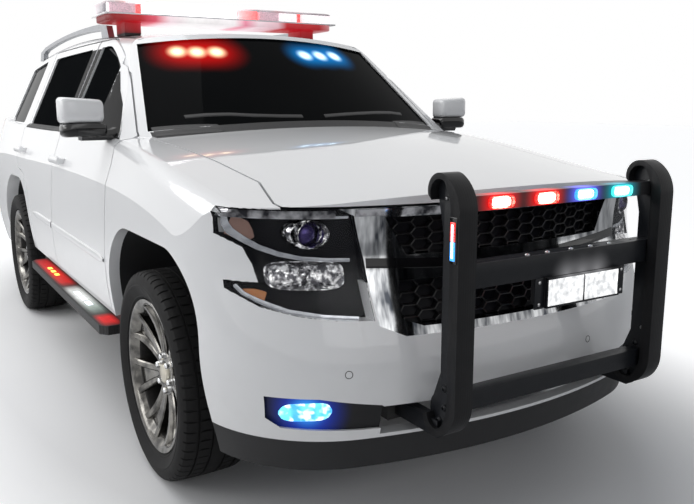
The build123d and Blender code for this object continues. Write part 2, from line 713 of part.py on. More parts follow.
left_side = joined(rail, hanger, *arms, *eyes, kingpin)
frame = joined(left_side, mirrored_to_right(left_side), *members, axle_member)
save("chassis_frame", frame)
save("hitch_receiver", joined(receiver, receiver_drop))

# ---------------------------------------------------------------- floor pan, firewall, wells
FLOOR_HALF = INNER_SILL
FIREWALL = 1340.0
FLOOR_STEP = 3410.0
FLOOR_REAR = 4985.0
REAR_FLOOR = RAIL_TOP + RAIL_KICK
floor_front = plain_box(-FLOOR_HALF, FLOOR_HALF, FIREWALL, FLOOR_STEP,
                        RAIL_TOP, RAIL_TOP + FLOOR_THICK)
floor_riser = plain_box(-FLOOR_HALF, FLOOR_HALF, FLOOR_STEP, FLOOR_STEP + FLOOR_THICK,
                        RAIL_TOP, REAR_FLOOR + FLOOR_THICK)
floor_rear = plain_box(-FLOOR_HALF, FLOOR_HALF, FLOOR_STEP, FLOOR_REAR,
                       REAR_FLOOR, REAR_FLOOR + FLOOR_THICK)
firewall = common(behind_doors, plain_box(-FLOOR_HALF, FLOOR_HALF, FIREWALL,
                                          FIREWALL + FLOOR_THICK, RAIL_TOP, 1300))


def well_liner(axle, inner, corner, form, low):
    """Wall round a left wheel well, inside the body's form."""
    grown = wheel_well(axle, inner, corner, WELL_WALL)
    hollow = wheel_well(axle, inner, corner)
    zone = plain_box(inner - WELL_WALL, FAR, axle - 600, axle + 600, low, 1000)
    return common(form, cut_from(grown, hollow), zone)


front_liner = cut_from(
    well_liner(FRONT_AXLE, WELL_INNER, FRONT_ARCH_CORNER, behind_panels, RAIL_TOP), hood_opening)
rear_liner = well_liner(REAR_AXLE, REAR_WELL_INNER, REAR_ARCH_CORNER, behind_doors, DOOR_BOTTOM)
lined_wells = joined(wheel_well(FRONT_AXLE, WELL_INNER, FRONT_ARCH_CORNER, WELL_WALL),
                     wheel_well(REAR_AXLE, REAR_WELL_INNER, REAR_ARCH_CORNER, WELL_WALL))
for label, boards in (("floor_pan", joined(floor_front, firewall)),
                      ("cargo_floor", joined(floor_riser, floor_rear))):
    save(label, cut_from(boards, lined_wells, mirrored_to_right(lined_wells)))
save("wheel_liners", pair(joined(front_liner, rear_liner)))
save("rockers", pair(rocker))

# ---------------------------------------------------------------- rear axle
AXLE_TUBE = 45.0
DIFF_RADIUS = 125.0
DIFF_HALF = 105.0
SPRING_RADIUS = 52.0
SPRING_X = (RAIL_INNER + RAIL_OUTER) / 2
LINK_FRONT = 3230.0
SPINDLE_REACH = 55.0        # spindle's end past the wheel's middle
HUB_INNER = -50.0           # hub's inner face from the wheel's middle
HUB_ROOM = 20.0             # between the hub and the axle's tube
axle_reach = WHEEL_X + HUB_INNER - HUB_ROOM
axle_tube = across_tube(REAR_AXLE, TYRE_RADIUS, AXLE_TUBE, -axle_reach, axle_reach)
spindles = across_tube(REAR_AXLE, TYRE_RADIUS, SPINDLE_RADIUS, -WHEEL_X - SPINDLE_REACH,
                       WHEEL_X + SPINDLE_REACH)
casing = across_tube(REAR_AXLE, TYRE_RADIUS, DIFF_RADIUS, -DIFF_HALF, DIFF_HALF)
spring = upright_tube(SPRING_X, REAR_AXLE, SPRING_RADIUS, TYRE_RADIUS, RAIL_BOTTOM + RAIL_KICK)
link = plain_box(SPRING_X - 18, SPRING_X + 18, LINK_FRONT, REAR_AXLE, 375, 415)
link_bracket = plain_box(SPRING_X - 30, SPRING_X + 30, LINK_FRONT, LINK_FRONT + 60, 375,
                         RAIL_BOTTOM)
rear_left = joined(spring, link, link_bracket)
save("rear_axle", joined(axle_tube, spindles, casing, rear_left, mirrored_to_right(rear_left)))

# ---------------------------------------------------------------- knuckles
knuckle_block = plain_box(KINGPIN_X - 32, KINGPIN_X + 32, FRONT_AXLE - 45, FRONT_AXLE + 45,
                          TYRE_RADIUS - KNUCKLE_HALF, TYRE_RADIUS + KNUCKLE_HALF)
front_spindle = across_tube(FRONT_AXLE, TYRE_RADIUS, SPINDLE_RADIUS, KINGPIN_X,
                            WHEEL_X + SPINDLE_REACH)
steering_arm = plain_box(KINGPIN_X - 25, KINGPIN_X + 5, FRONT_AXLE, FRONT_AXLE + 150,
                         TYRE_RADIUS - 80, TYRE_RADIUS - 50)
kingpin_bore = upright_tube(KINGPIN_X, FRONT_AXLE, KINGPIN_RADIUS + RUNNING_FIT, 0, 1000)
knuckle = cut_from(joined(knuckle_block, front_spindle, steering_arm), kingpin_bore)
save("knuckle_left", knuckle)
save("knuckle_right", mirrored_to_right(knuckle))

# ---------------------------------------------------------------- wheels
HALF_WIDTH = TYRE_WIDTH / 2
BEAD = RIM_SEAT + 0.3
SPOKES = 7
FIRST_SPOKE = 136.5         # degrees up from the rearward direction
HUB_RADIUS = 80.0
HUB_OUTER = 88.0
DISC_RADIUS = 170.0
# Half sections of (radius, distance out from the wheel's middle).
TYRE_OUTSIDE = [
    (BEAD, -98), (BEAD, -RIM_HALF + 0.5), (RIM_FLANGE + 1, -RIM_HALF + 0.5), (304, -126),
    (350, -HALF_WIDTH, 389, -133), (401, -129, TYRE_RADIUS - 2, -113),
    (TYRE_RADIUS, 0, TYRE_RADIUS - 2, 113), (401, 129, 389, 133),
    (350, HALF_WIDTH, 304, 126), (RIM_FLANGE + 1, RIM_HALF - 0.5), (BEAD, RIM_HALF - 0.5),
    (BEAD, 98), (300, 104), (348, 128, 384, 118), (394, 0, 384, -118), (348, -128, 300, -104),
]
RIM_SECTION = [
    (RIM_FLANGE, -122), (RIM_FLANGE, -RIM_HALF), (RIM_SEAT, -RIM_HALF), (RIM_SEAT, -88),
    (262, -66), (262, 72), (RIM_SEAT, 92), (RIM_SEAT, RIM_HALF), (RIM_FLANGE, RIM_HALF),
    (RIM_FLANGE, 122), (276, 122), (268, 110), (254, 82), (252, -70), (266, -96),
    (268, -110), (276, -122),
]
HUB_SECTION = [
    (SPINDLE_RADIUS + RUNNING_FIT, HUB_INNER), (DISC_RADIUS, HUB_INNER), (DISC_RADIUS, -26),
    (HUB_RADIUS, -22), (HUB_RADIUS, HUB_OUTER - 12), (HUB_RADIUS - 14, HUB_OUTER),
    (0, HUB_OUTER), (0, SPINDLE_REACH + 6), (SPINDLE_RADIUS + RUNNING_FIT, SPINDLE_REACH + 6),
]
# One twin spoke in the wheel's face, as (along, across) from the hub.
SPOKE = [(60, -16), (252, -64), (252, -37), (140, -10), (140, 10), (252, 37), (252, 64), (60, 16)]
SPOKE_BACK = 48.0
SPOKE_FRONT = 84.0


def turned(section, centre, side):
    """Ring turned about a wheel's axis."""
    with BuildPart() as ring:
        with BuildSketch(Plane(centre, x_dir=(0, 1, 0), z_dir=(0, 0, -side))):
            with BuildLine():
                closed_line(section)
            make_face()
        revolve(axis=Axis(centre, (side, 0, 0)))
    return ring.part


def wheel_spokes(centre, side):
    face = Plane(centre, x_dir=(0, 1, 0), z_dir=(side, 0, 0))
    with BuildSketch() as spoke:
        with BuildLine():
            closed_line(SPOKE)
        make_face()
    with BuildPart() as spokes:
        with BuildSketch(face.offset(SPOKE_BACK)):
            with PolarLocations(0, SPOKES, start_angle=side * FIRST_SPOKE):
                add(spoke.sketch)
        extrude(amount=SPOKE_FRONT - SPOKE_BACK)
    return spokes.part


for corner, side, axle in (("front_left", 1, FRONT_AXLE), ("front_right", -1, FRONT_AXLE),
                           ("rear_left", 1, REAR_AXLE), ("rear_right", -1, REAR_AXLE)):
    centre = (side * WHEEL_X, y_at(axle), TYRE_RADIUS)
    save(f"tyre_{corner}", turned(TYRE_OUTSIDE, centre, side))
    save(f"rim_{corner}", joined(turned(RIM_SECTION, centre, side),
                                 turned(HUB_SECTION, centre, side),
                                 wheel_spokes(centre, side)))

# ---------------------------------------------------------------- running boards
BOARD_OUT = 1032.0
BOARD_TOP = 455.0
BOARD_THICK = 42.0
board = top_block([(OUTER_SILL, 1600), (BOARD_OUT - 30, 1600), (BOARD_OUT, 1640),
                   (BOARD_OUT, 3320), (BOARD_OUT - 30, 3360), (OUTER_SILL, 3360)],
                  BOARD_TOP - BOARD_THICK, BOARD_TOP)
save("side_steps", pair(board))

# ---------------------------------------------------------------- roof rails
# Side view of a rail and the room under it, as (station, z).
ROOF_RAIL = [(2700, 1790), (2740, 1865), (2900, 1884), (3700, 1888, 4500, 1852), (4700, 1822),
             (4740, 1760)]
RAIL_ROOM = [(2830, 1700), (2860, 1846), (3700, 1864, 4500, 1826), (4600, 1806), (4620, 1700)]
RAIL_X = 612.0
RAIL_WIDTH = 34.0
roof_rail = cut_from(side_block(ROOF_RAIL, RAIL_X - RAIL_WIDTH / 2, RAIL_X + RAIL_WIDTH / 2),
                     side_block(RAIL_ROOM, RAIL_X - RAIL_WIDTH, RAIL_X + RAIL_WIDTH), outside)
save("roof_rails", pair(roof_rail))

# ---------------------------------------------------------------- light bar
BAR_FRONT = 2460.0
BAR_REAR = 2770.0
BAR_HALF = 700.0
BAR_BOTTOM = 1872.0
BAR_SPLIT = 1908.0
BAR_TOP = 1972.0
BAR_FOOT_X = 540.0


def bar_slab(half, z_from, z_to):
    with BuildPart() as slab:
        with BuildSketch(Plane.XY.offset(z_from)):
            with Locations((0, y_at((BAR_FRONT + BAR_REAR) / 2))):
                RectangleRounded(2 * half, BAR_REAR - BAR_FRONT, 70)
        extrude(amount=z_to - z_from)
    return slab.part


bar_foot = cut_from(plain_box(BAR_FOOT_X - 45, BAR_FOOT_X + 45, BAR_FRONT + 70, BAR_REAR - 70,
                              1780, BAR_BOTTOM), outside)
save("light_bar_base", joined(bar_slab(BAR_HALF - 10, BAR_BOTTOM, BAR_SPLIT), bar_foot,
                              mirrored_to_right(bar_foot)))
save("light_bar_lens", bar_slab(BAR_HALF, BAR_SPLIT, BAR_TOP))

# ---------------------------------------------------------------- push bar
UPRIGHT_X = 430.0
PLATE_THICK = 10.0
PAD_WIDTH = 66.0
PAD_DEPTH = 42.0
# Side view of an upright plate, as (station, z).
UPRIGHT = [(-150, 1130), (-135, 1182, -95, 1218), (-50, 1215, -38, 1165),
           (-62, 1060), (-62, 640), (-30, 560), (-36, 478, -92, 470), (-134, 506, -150, 560)]
PAD_OUTLINE = [(-PUSH_REACH, 1130), (-146, 1194, -95, 1237), (-45, 1232, -22, 1175),
               (-38, 1160), (-50, 1215, -95, 1218), (-118, 1176, -126, 1130),
               (-126, 560), (-117, 516, -92, 478), (-50, 478, -34, 510), (-14, 500),
               (-36, 458, -92, 452), (-145, 495, -PUSH_REACH, 560)]
CHANNEL_TOP = 974.0
CHANNEL_TALL = 75.0
CHANNEL_FRONT = -120.0
CHANNEL_BACK = -64.0
LAMP_HOLE_X = 350.0
LAMP_HOLE_RADIUS = 4.5
plate = side_block(UPRIGHT, UPRIGHT_X - PLATE_THICK / 2, UPRIGHT_X + PLATE_THICK / 2)
bracket = plain_box(UPRIGHT_X - 20, UPRIGHT_X + 20, -70, FRAME_FRONT, 436, 490)
pad = cut_from(side_block(PAD_OUTLINE, UPRIGHT_X - PAD_WIDTH / 2, UPRIGHT_X + PAD_WIDTH / 2),
               plate, bracket)
channel = plain_box(-UPRIGHT_X, UPRIGHT_X, CHANNEL_FRONT, CHANNEL_BACK,
                    CHANNEL_TOP - CHANNEL_TALL, CHANNEL_TOP)
lower_bar = plain_box(-UPRIGHT_X, UPRIGHT_X, -110, -64, 520, 580)
push_left = joined(plate, bracket)
push_frame = joined(push_left, mirrored_to_right(push_left), channel, lower_bar)
lamp_hole = upright_tube(LAMP_HOLE_X, (CHANNEL_FRONT + CHANNEL_BACK) / 2, LAMP_HOLE_RADIUS,
                         CHANNEL_TOP - CHANNEL_TALL - 1, CHANNEL_TOP + 1)
save("push_bar_frame", cut_from(push_frame, lamp_hole, mirrored_to_right(lamp_hole)))
save("push_bar_pads", pair(pad))
warning_bar = plain_box(-UPRIGHT_X + PLATE_THICK / 2, UPRIGHT_X - PLATE_THICK / 2,
                        -118, -72, 1128, 1172)
flood_lamp = plain_box(-80, 262, -124, -66, CHANNEL_TOP - CHANNEL_TALL - 96,
                       CHANNEL_TOP - CHANNEL_TALL)
save("push_bar_lights", joined(warning_bar, flood_lamp))

# ---------------------------------------------------------------- mirrors
MIRROR_CAP = [(948, 1352), (1106, 1352), (1128, 1378), (1122, 1440), (1100, 1458), (968, 1466),
              (938, 1440)]
MIRROR_ARM = [(880, 1262), (935, 1270), (1010, 1300), (1100, 1322), (1106, 1352), (930, 1352),
              (880, 1300)]
mirror_cap = front_block(MIRROR_CAP, 1672, 1772, corner=10)
mirror_arm = cut_from(front_block(MIRROR_ARM, 1690, 1750), outside)
side_mirror = joined(mirror_cap, mirror_arm)
save("mirror_left", side_mirror)
save("mirror_right", mirrored_to_right(side_mirror))

# ---------------------------------------------------------------- cabin fittings and engine
# Side views as (station, z).
FRONT_SEAT = [(2060, 600), (2060, 760), (2010, 790), (2010, 880), (2040, 925), (2420, 905),
              (2590, 1440), (2640, 1450), (2640, 1600), (2700, 1600), (2700, 1430), (2600, 860),
              (2560, 770), (2460, 760), (2460, 600)]
REAR_SEAT = [(3000, 600), (3000, 900), (3030, 935), (3300, 915), (3390, 1400), (3430, 1560),
             (3490, 1560), (3500, 1400), (3400, 860), (3370, 600)]
DASH = [(FIREWALL + FLOOR_THICK, 985), (FIREWALL + FLOOR_THICK, 1150), (1560, 1195),
        (1730, 1170), (1750, 1060), (1620, 800), (1540, 800), (1540, 985)]
WHEEL_TILT = 25.0
seat_left = side_block(FRONT_SEAT, 170, 610)
bench = side_block(REAR_SEAT, -640, 640)
save("seats", joined(pair(seat_left), bench))
column_axis = Plane((400, y_at(1700), 1090), x_dir=(1, 0, 0),
                    z_dir=(0, cos(radians(WHEEL_TILT)), sin(radians(WHEEL_TILT)) * 0.2))
with BuildPart() as steering_wheel:
    with BuildSketch(column_axis):
        Circle(22)
    extrude(amount=190)
    with BuildSketch(column_axis.offset(190)):
        Circle(190)
        Circle(160, mode=Mode.SUBTRACT)
        Rectangle(340, 44)
    extrude(amount=24)
save("dashboard", joined(side_block(DASH, -680, 680), steering_wheel.part))
engine = plain_box(-280, 280, 560, 1190, 440, 1010)
mount_bar = plain_box(-RAIL_INNER, RAIL_INNER, 860, 920, 460, 530)
save("engine_block", joined(engine, mount_bar))
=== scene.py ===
"""A full-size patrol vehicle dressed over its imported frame, in metres."""

from math import copysign, cos, pi, radians, sin, sqrt

import bmesh
import bpy
from mathutils import Matrix, Vector
from mathutils.bvhtree import BVHTree


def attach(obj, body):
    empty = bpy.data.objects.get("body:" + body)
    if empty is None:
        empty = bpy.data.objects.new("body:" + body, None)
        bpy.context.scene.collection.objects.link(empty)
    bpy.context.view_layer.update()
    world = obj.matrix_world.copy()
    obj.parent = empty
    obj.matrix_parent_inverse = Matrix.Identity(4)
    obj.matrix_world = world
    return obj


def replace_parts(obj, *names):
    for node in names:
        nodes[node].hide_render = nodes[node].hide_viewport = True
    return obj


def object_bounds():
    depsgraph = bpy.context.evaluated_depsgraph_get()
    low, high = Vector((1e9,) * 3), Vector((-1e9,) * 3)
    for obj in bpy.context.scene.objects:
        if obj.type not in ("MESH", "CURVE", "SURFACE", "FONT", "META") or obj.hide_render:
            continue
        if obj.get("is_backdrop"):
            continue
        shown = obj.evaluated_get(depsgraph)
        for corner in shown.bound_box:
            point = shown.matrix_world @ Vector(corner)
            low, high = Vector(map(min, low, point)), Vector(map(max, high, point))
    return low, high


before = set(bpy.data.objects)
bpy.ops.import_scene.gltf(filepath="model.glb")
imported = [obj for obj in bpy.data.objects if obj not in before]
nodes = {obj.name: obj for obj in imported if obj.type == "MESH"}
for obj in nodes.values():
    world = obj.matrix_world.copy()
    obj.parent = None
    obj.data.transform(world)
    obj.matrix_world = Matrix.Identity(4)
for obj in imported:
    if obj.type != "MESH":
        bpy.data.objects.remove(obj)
cad_low, cad_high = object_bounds()

# ---------------------------------------------------------------- camera
# A standing person's view of the front right corner, a little down on the hood.
# Frame of 694 by 504, 39.7 mm lens on a 36 mm sensor.


def stood(name, data):
    """Puts a new object in the scene."""
    thing = bpy.data.objects.new(name, data)
    bpy.context.scene.collection.objects.link(thing)
    return thing


camera = stood("camera", bpy.data.cameras.new("camera"))
camera.data.lens = 39.73
camera.data.sensor_width = 36.0
camera.location = (-1.815, -4.2875, 1.435)
looking = Matrix.Rotation(radians(-31.5), 4, "Z") @ Matrix.Rotation(radians(90 - 11.03), 4, "X")
camera.rotation_euler = (looking @ Matrix.Rotation(radians(-0.18), 4, "Z")).to_euler()
bpy.context.scene.camera = camera

# ---------------------------------------------------------------- studio
# A pale floor and an even white room. One long softbox hangs over the roof, one stands ahead
# of the nose and one at the right side.
bpy.context.scene.view_settings.view_transform = "Standard"


class Wire:
    """One output socket of a node tree; sums and products on it add Math nodes."""

    def __init__(self, tree, socket=None):
        self.tree = tree
        self.socket = socket

    def node(self, kind, settings=None, sockets=None, output=0):
        """Adds a node: its settings first, then the values or links of its sockets."""
        made = self.tree.nodes.new("ShaderNode" + kind)
        for key, value in (settings or {}).items():
            if key == "stops":
                ramp = made.color_ramp.elements
                while len(ramp) < len(value):
                    ramp.new(1.0)
                for stop, (place, colour) in zip(ramp, value):
                    stop.position = place
                    stop.color = (*colour, 1.0)
            else:
                setattr(made, key, value)
        for key, value in (sockets or {}).items():
            if isinstance(value, Wire):
                self.tree.links.new(value.socket, made.inputs[key])
            else:
                made.inputs[key].default_value = value
        return Wire(self.tree, made.outputs[output])

    def maths(self, operation, *values):
        return self.node("Math", {"operation": operation}, dict(enumerate(values)))

    def __add__(self, other):
        return self.maths("ADD", self, other)

    def __sub__(self, other):
        return self.maths("SUBTRACT", self, other)

    def __rsub__(self, other):
        return self.maths("SUBTRACT", other, self)

    def __mul__(self, other):
        return self.maths("MULTIPLY", self, other)

    def __pow__(self, other):
        return self.maths("POWER", self, other)

    def __gt__(self, other):
        return self.maths("GREATER_THAN", self, other)

    __radd__ = __add__
    __rmul__ = __mul__

    def between(self, low, high):
        """0 below low, 1 above high and straight between them."""
        return self.node("MapRange", None, {0: self, 1: low, 2: high})

    def mix(self, first, second):
        """The first colour where this is 0, the second where it is 1."""
        first, second = [c if isinstance(c, Wire) else (*c, 1.0) for c in (first, second)]
        return self.node("Mix", {"data_type": "RGBA"}, {0: self, 6: first, 7: second}, output=2)


world = bpy.data.worlds.new("room")
bpy.context.scene.world = world
world.use_nodes = True
room = Wire(world.node_tree)
background = world.node_tree.nodes["Background"]
camera_ray, glossy_ray, through_ray = [room.node("LightPath", output=kind) for kind in (
    "Is Camera Ray", "Is Glossy Ray", "Is Transmission Ray")]
seen = room.maths("MAXIMUM", camera_ray, room.maths("MAXIMUM", glossy_ray, through_ray))
fill = seen.mix((0.25, 0.26, 0.275), (1.0, 1.0, 1.0))
world.node_tree.links.new(fill.socket, background.inputs["Color"])

for name, place, aim, size, power in (
    ("softbox_roof", (-2.3, 1.2, 4.6), (-0.3, -0.3, 0.9), (3.0, 6.0), 150.0),
    ("softbox_nose", (-1.6, -8.0, 3.0), (0, -1.5, 0.8), (4.0, 3.0), 44.0),
    ("softbox_right", (-7.0, 0.8, 3.0), (0, 0.3, 0.9), (5.5, 2.6), 135.0),
):
    lamp = stood(name, bpy.data.lights.new(name, "AREA"))
    lamp.data.shape = "RECTANGLE"
    lamp.data.size, lamp.data.size_y = size
    lamp.data.energy = power
    lamp.location = place
    lamp.rotation_euler = (Vector(aim) - Vector(place)).to_track_quat("-Z", "Y").to_euler()


def lookup(name, **fixed):
    """A new material, its shader and a wire of object coordinates."""
    material = bpy.data.materials.new(name)
    material.use_nodes = True
    shader = material.node_tree.nodes["Principled BSDF"]
    for key, value in fixed.items():
        shader.inputs[key.replace("_", " ")].default_value = value
    place = Wire(material.node_tree).node("TexCoord", output="Object")
    return material, shader, place


def feed(shader, **links):
    """Joins wires to the shader's sockets."""
    for key, wire in links.items():
        wire.tree.links.new(wire.socket, shader.inputs[key.replace("_", " ")])


def axes(place):
    split = place.node("SeparateXYZ", None, {0: place}).socket.node
    return [Wire(place.tree, split.outputs[k]) for k in range(3)]


def grain(place, size, detail=2.0, low=None, high=None):
    """Noise whose lumps are about this many metres across, or what lies between two levels."""
    noise = place.node("TexNoise", None, {"Vector": place, "Scale": 1 / size, "Detail": detail})
    return noise if low is None else noise.between(low, high)


def relief(height, depth):
    return height.node("Bump", None, {"Height": height, "Distance": depth, "Strength": 1.0})


floor_material, shader, place = lookup("pale_floor", Roughness=0.6, Emission_Strength=0.62)
x, y, z = axes(place)
away = ((x * 0.62) ** 2 + (y * 0.31) ** 2).between(0.75, 1.9)
lit = away * place.node("LightPath", output="Is Camera Ray")
feed(shader, Base_Color=grain(place, 0.9).mix((0.84, 0.84, 0.85), (0.88, 0.88, 0.88)),
     Emission_Color=lit.mix((0.0, 0.0, 0.0), (1.0, 1.0, 1.0)))
floor = stood("floor", bpy.data.meshes.new("floor"))
bm = bmesh.new()
bmesh.ops.create_grid(bm, x_segments=8, y_segments=8, size=40.0)
bm.to_mesh(floor.data)
bm.free()
floor.data.materials.append(floor_material)
floor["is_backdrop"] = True

# ---------------------------------------------------------------- painted panels
# Pressed steel, white clear-over-base paint: faint orange peel and a film of road dust low down.
white_paint, shader, place = lookup("white_paint", Coat_Weight=0.9, Coat_Roughness=0.03)
x, y, z = axes(place)
dust = (1 - z.between(0.35, 0.75)) * grain(place, 0.06, 5.0)
clean = grain(place, 0.7).mix((0.800, 0.805, 0.815), (0.820, 0.823, 0.830))
feed(shader, Base_Color=(dust * 0.35).mix(clean, (0.62, 0.61, 0.58)),
     Roughness=dust * 0.3 + 0.36,
     Normal=relief(grain(place, 0.004, 1.0), 0.00003))


def dress(material, *names):
    """Gives CAD nodes a material."""
    for name in names:
        nodes[name].data.materials.clear()
        nodes[name].data.materials.append(material)


dress(white_paint, "body_sides", "front_fenders", "roof_panel", "front_bumper", "rear_bumper",
      "hood", "liftgate", "door_front_left", "door_front_right", "door_rear_left",
      "door_rear_right")

# ---------------------------------------------------------------- frame, axles and engine
# Ladder frame, arms and floor in satin chassis black; knuckles, axle and engine in rough cast
# iron with patches of rust-brown dust.


def surface(name, tone, dark, light, rough=None, bump=None, more=None, **fixed):
    """A material of noise: the grain of its tone with two colours, the grain, spread and least
    value of its roughness, the grain and depth of its relief, and a function for other wires."""
    material, shader, place = lookup(name, **fixed)
    feed(shader, Base_Color=grain(place, *tone).mix(dark, light))
    if rough:
        *noise, spread, least = rough
        feed(shader, Roughness=grain(place, *noise) * spread + least)
    if bump:
        *noise, depth = bump
        feed(shader, Normal=relief(grain(place, *noise), depth))
    if more:
        feed(shader, **more(place))
    return material


chassis_black = surface("chassis_black", [0.03, 4.0], (0.012, 0.012, 0.013),
                        (0.03, 0.029, 0.028), (0.05, 0.2, 0.42), (0.002, 3.0, 0.0004))
cast_iron = surface("cast_iron", [0.02, 6.0, 0.45, 0.75], (0.1, 0.1, 0.1), (0.16, 0.1, 0.07),
                    (0.02, 6.0, 0.45, 0.75, 0.25, 0.5), (0.0015, 3.0, 0.0006), Metallic=0.6)
dress(chassis_black, "chassis_frame", "floor_pan", "cargo_floor", "hitch_receiver")
dress(cast_iron, "rear_axle", "knuckle_left", "knuckle_right", "engine_block")

# ---------------------------------------------------------------- wheels
# Cast 22 inch rims in polished dark bronze with seven split spokes, a sunk web between each
# pair of legs, six chrome nuts and a plain pale cap. Low ribbed tyres with cut shoulders.
STATION_ZERO = 2.5085       # the bumper's front lies this far ahead of the frame's origin
AXLES = {"front": 1.000 - STATION_ZERO, "rear": 3.946 - STATION_ZERO}
WHEEL_OUT = 0.8725
TYRE_RADIUS = 0.4075
SPOKES = 7
FIRST_SPOKE = radians(136.5)
PITCHES = 60                # tread blocks round a tyre
GROOVE_DEPTH, CUT_DEPTH = 0.0075, 0.0065    # round the tread, and across its blocks
CUTS_FROM = 0.392           # radius outside which a block's cuts reach
TREAD_HALF, CROWN = 0.104, 0.0025
NUTS, NUT_CIRCLE = 6, 0.0655
BARREL_END = 0.100          # rim faces inboard of this are dark


def woven(bm, rows):
    """A grid of quads laid through rows of points."""
    along, across = len(rows) - 1, len(rows[0]) - 1
    made = bmesh.ops.create_grid(bm, x_segments=across, y_segments=along, size=1.0)["verts"]
    for vertex in made:
        row = round((vertex.co.y + 1) / 2 * along)
        vertex.co = rows[row][round((vertex.co.x + 1) / 2 * across)]
    return made


def spun(bm, section, steps, matrix=Matrix(), closed=True):
    """Turns a section of (out, radius) about the X axis."""
    verts = [bm.verts.new((out, radius, 0)) for out, radius in section]
    pairs = list(zip(verts, verts[1:])) + ([(verts[-1], verts[0])] if closed else [])
    edges = [bm.edges.new(pair) for pair in pairs]
    before = set(bm.verts) - set(verts)
    bmesh.ops.spin(bm, geom=verts + edges, cent=(0, 0, 0), axis=(1, 0, 0), angle=2 * pi,
                   steps=steps, use_merge=True)
    bmesh.ops.transform(bm, matrix=matrix, verts=[v for v in bm.verts if v not in before])


def fitted(name, bm, materials, slot, body="body", sharp=35.0):
    """Closes a bmesh into a piece that rides on a body; its slot argument is not used."""
    bmesh.ops.remove_doubles(bm, verts=bm.verts, dist=0.00002)
    bmesh.ops.recalc_face_normals(bm, faces=bm.faces)
    mesh = bpy.data.meshes.new(name)
    bm.to_mesh(mesh)
    bm.free()
    for material in materials if isinstance(materials, list) else [materials]:
        mesh.materials.append(material)
    mesh.polygons.foreach_set("use_smooth", [True] * len(mesh.polygons))
    mesh.set_sharp_from_angle(angle=radians(sharp))
    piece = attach(stood(name, mesh), body)
    return piece


tyre_rubber = surface("tyre_rubber", [0.05, 4.0], (0.007, 0.007, 0.0075),
                      (0.015, 0.0145, 0.0145), (0.05, 4.0, 0.2, 0.55), (0.0012, 2.0, 0.0002),
                      Specular_IOR_Level=0.15)
# Dark bronze is the rims' own tone; the mottle from dark to light across it is painted reflection.
bronze_alloy = surface("bronze_alloy", [0.05, 3.0, 0.35, 0.65], (0.07, 0.068, 0.065),
                       (0.27, 0.26, 0.24), (0.01, 3.0, 0.06, 0.13), Metallic=0.95)
# Painted shade: the rim's inboard barrel faces are near black for the shadow inside the wheel.
barrel_painted_shade = surface("barrel_painted_shade", [0.02], (0.018, 0.017, 0.018), (0.05, 0.048, 0.046),
                      (0.01, 0.2, 0.3), Metallic=0.6)
chrome = surface("chrome", [0.1], (0.72, 0.73, 0.75), (0.8, 0.81, 0.82),
                 (0.03, 3.0, 0.05, 0.03), Metallic=1.0)
cap_metal = surface("cap_metal", [0.01], (0.62, 0.58, 0.48), (0.68, 0.64, 0.55),
                    (0.004, 0.15, 0.25), Metallic=0.7)

SIDEWALL = [(0.098, 0.2797), (0.1138, 0.2797), (0.1138, 0.2985), (0.1215, 0.3030),
            (0.1268, 0.3080), (0.1262, 0.3125), (0.1310, 0.3230), (0.1385, 0.3400),
            (0.1422, 0.3520), (0.1408, 0.3560), (0.1418, 0.3600), (0.1390, 0.3740),
            (0.1338, 0.3870), (0.1270, 0.3975), (0.1160, 0.4030)]
RIBS = [TREAD_HALF, 0.0885, 0.0875, 0.0800, 0.0790, 0.0620, 0.0450, 0.0345, 0.0335, 0.0265, 0.0255]
GROOVED = {0.0875, 0.0800, 0.0335, 0.0265}
INSIDE = [(0.104, 0.300), (0.128, 0.348), (0.118, 0.384), (0.0, 0.394)]


def tread_radius(out):
    return TYRE_RADIUS - CROWN * (out / TREAD_HALF) ** 2


tread_line = [(out, tread_radius(out) - (GROOVE_DEPTH if out in GROOVED else 0)) for out in RIBS]
half = SIDEWALL + tread_line
tyre_section = (half + [(0.0, TYRE_RADIUS)] + [(-out, r) for out, r in reversed(half)]
                + [(-out, r) for out, r in INSIDE[:3]] + [(out, r) for out, r in reversed(INSIDE)]
                + [half[0]])
RIM_SECTION = [(-0.122, 0.297), (-0.1143, 0.297), (-0.1143, 0.2794), (-0.088, 0.2794),
               (-0.066, 0.262), (0.072, 0.262), (0.092, 0.2794), (0.1143, 0.2794),
               (0.1143, 0.2965), (0.1185, 0.2990), (0.1220, 0.2965), (0.1215, 0.2880),
               (0.1180, 0.2800), (0.1100, 0.2700), (0.0900, 0.2560), (0.0820, 0.2540),
               (-0.070, 0.252), (-0.096, 0.266), (-0.110, 0.268), (-0.122, 0.276)]
HUB_SECTION = [(-0.050, 0.0303), (-0.050, 0.170), (-0.026, 0.170), (-0.026, 0.095),
               (-0.022, 0.080), (0.050, 0.088), (0.064, 0.088), (0.068, 0.084), (0.068, 0.050),
               (0.060, 0.040), (0.060, 0.0303)]
CAP_SECTION = [(0.056, 0.0), (0.056, 0.040), (0.070, 0.040), (0.077, 0.036), (0.080, 0.028),
               (0.0815, 0.014), (0.082, 0.0)]
NUT_SECTION = [(0.060, 0.0), (0.060, 0.0125), (0.078, 0.0125), (0.083, 0.0095), (0.085, 0.004),
               (0.0855, 0.0)]
# Spoke stations: radius, face height, leg's outer edge, leg's inner edge, web depth
SPOKE = [(0.060, 0.064, 0.024, 0.002, 0.001), (0.088, 0.068, 0.0285, 0.006, 0.002),
         (0.115, 0.070, 0.033, 0.010, 0.004), (0.150, 0.075, 0.040, 0.015, 0.007),
         (0.190, 0.083, 0.0490, 0.0225, 0.010), (0.225, 0.094, 0.0580, 0.0310, 0.013),
         (0.250, 0.104, 0.0670, 0.0390, 0.018), (0.266, 0.112, 0.0760, 0.0470, 0.026)]


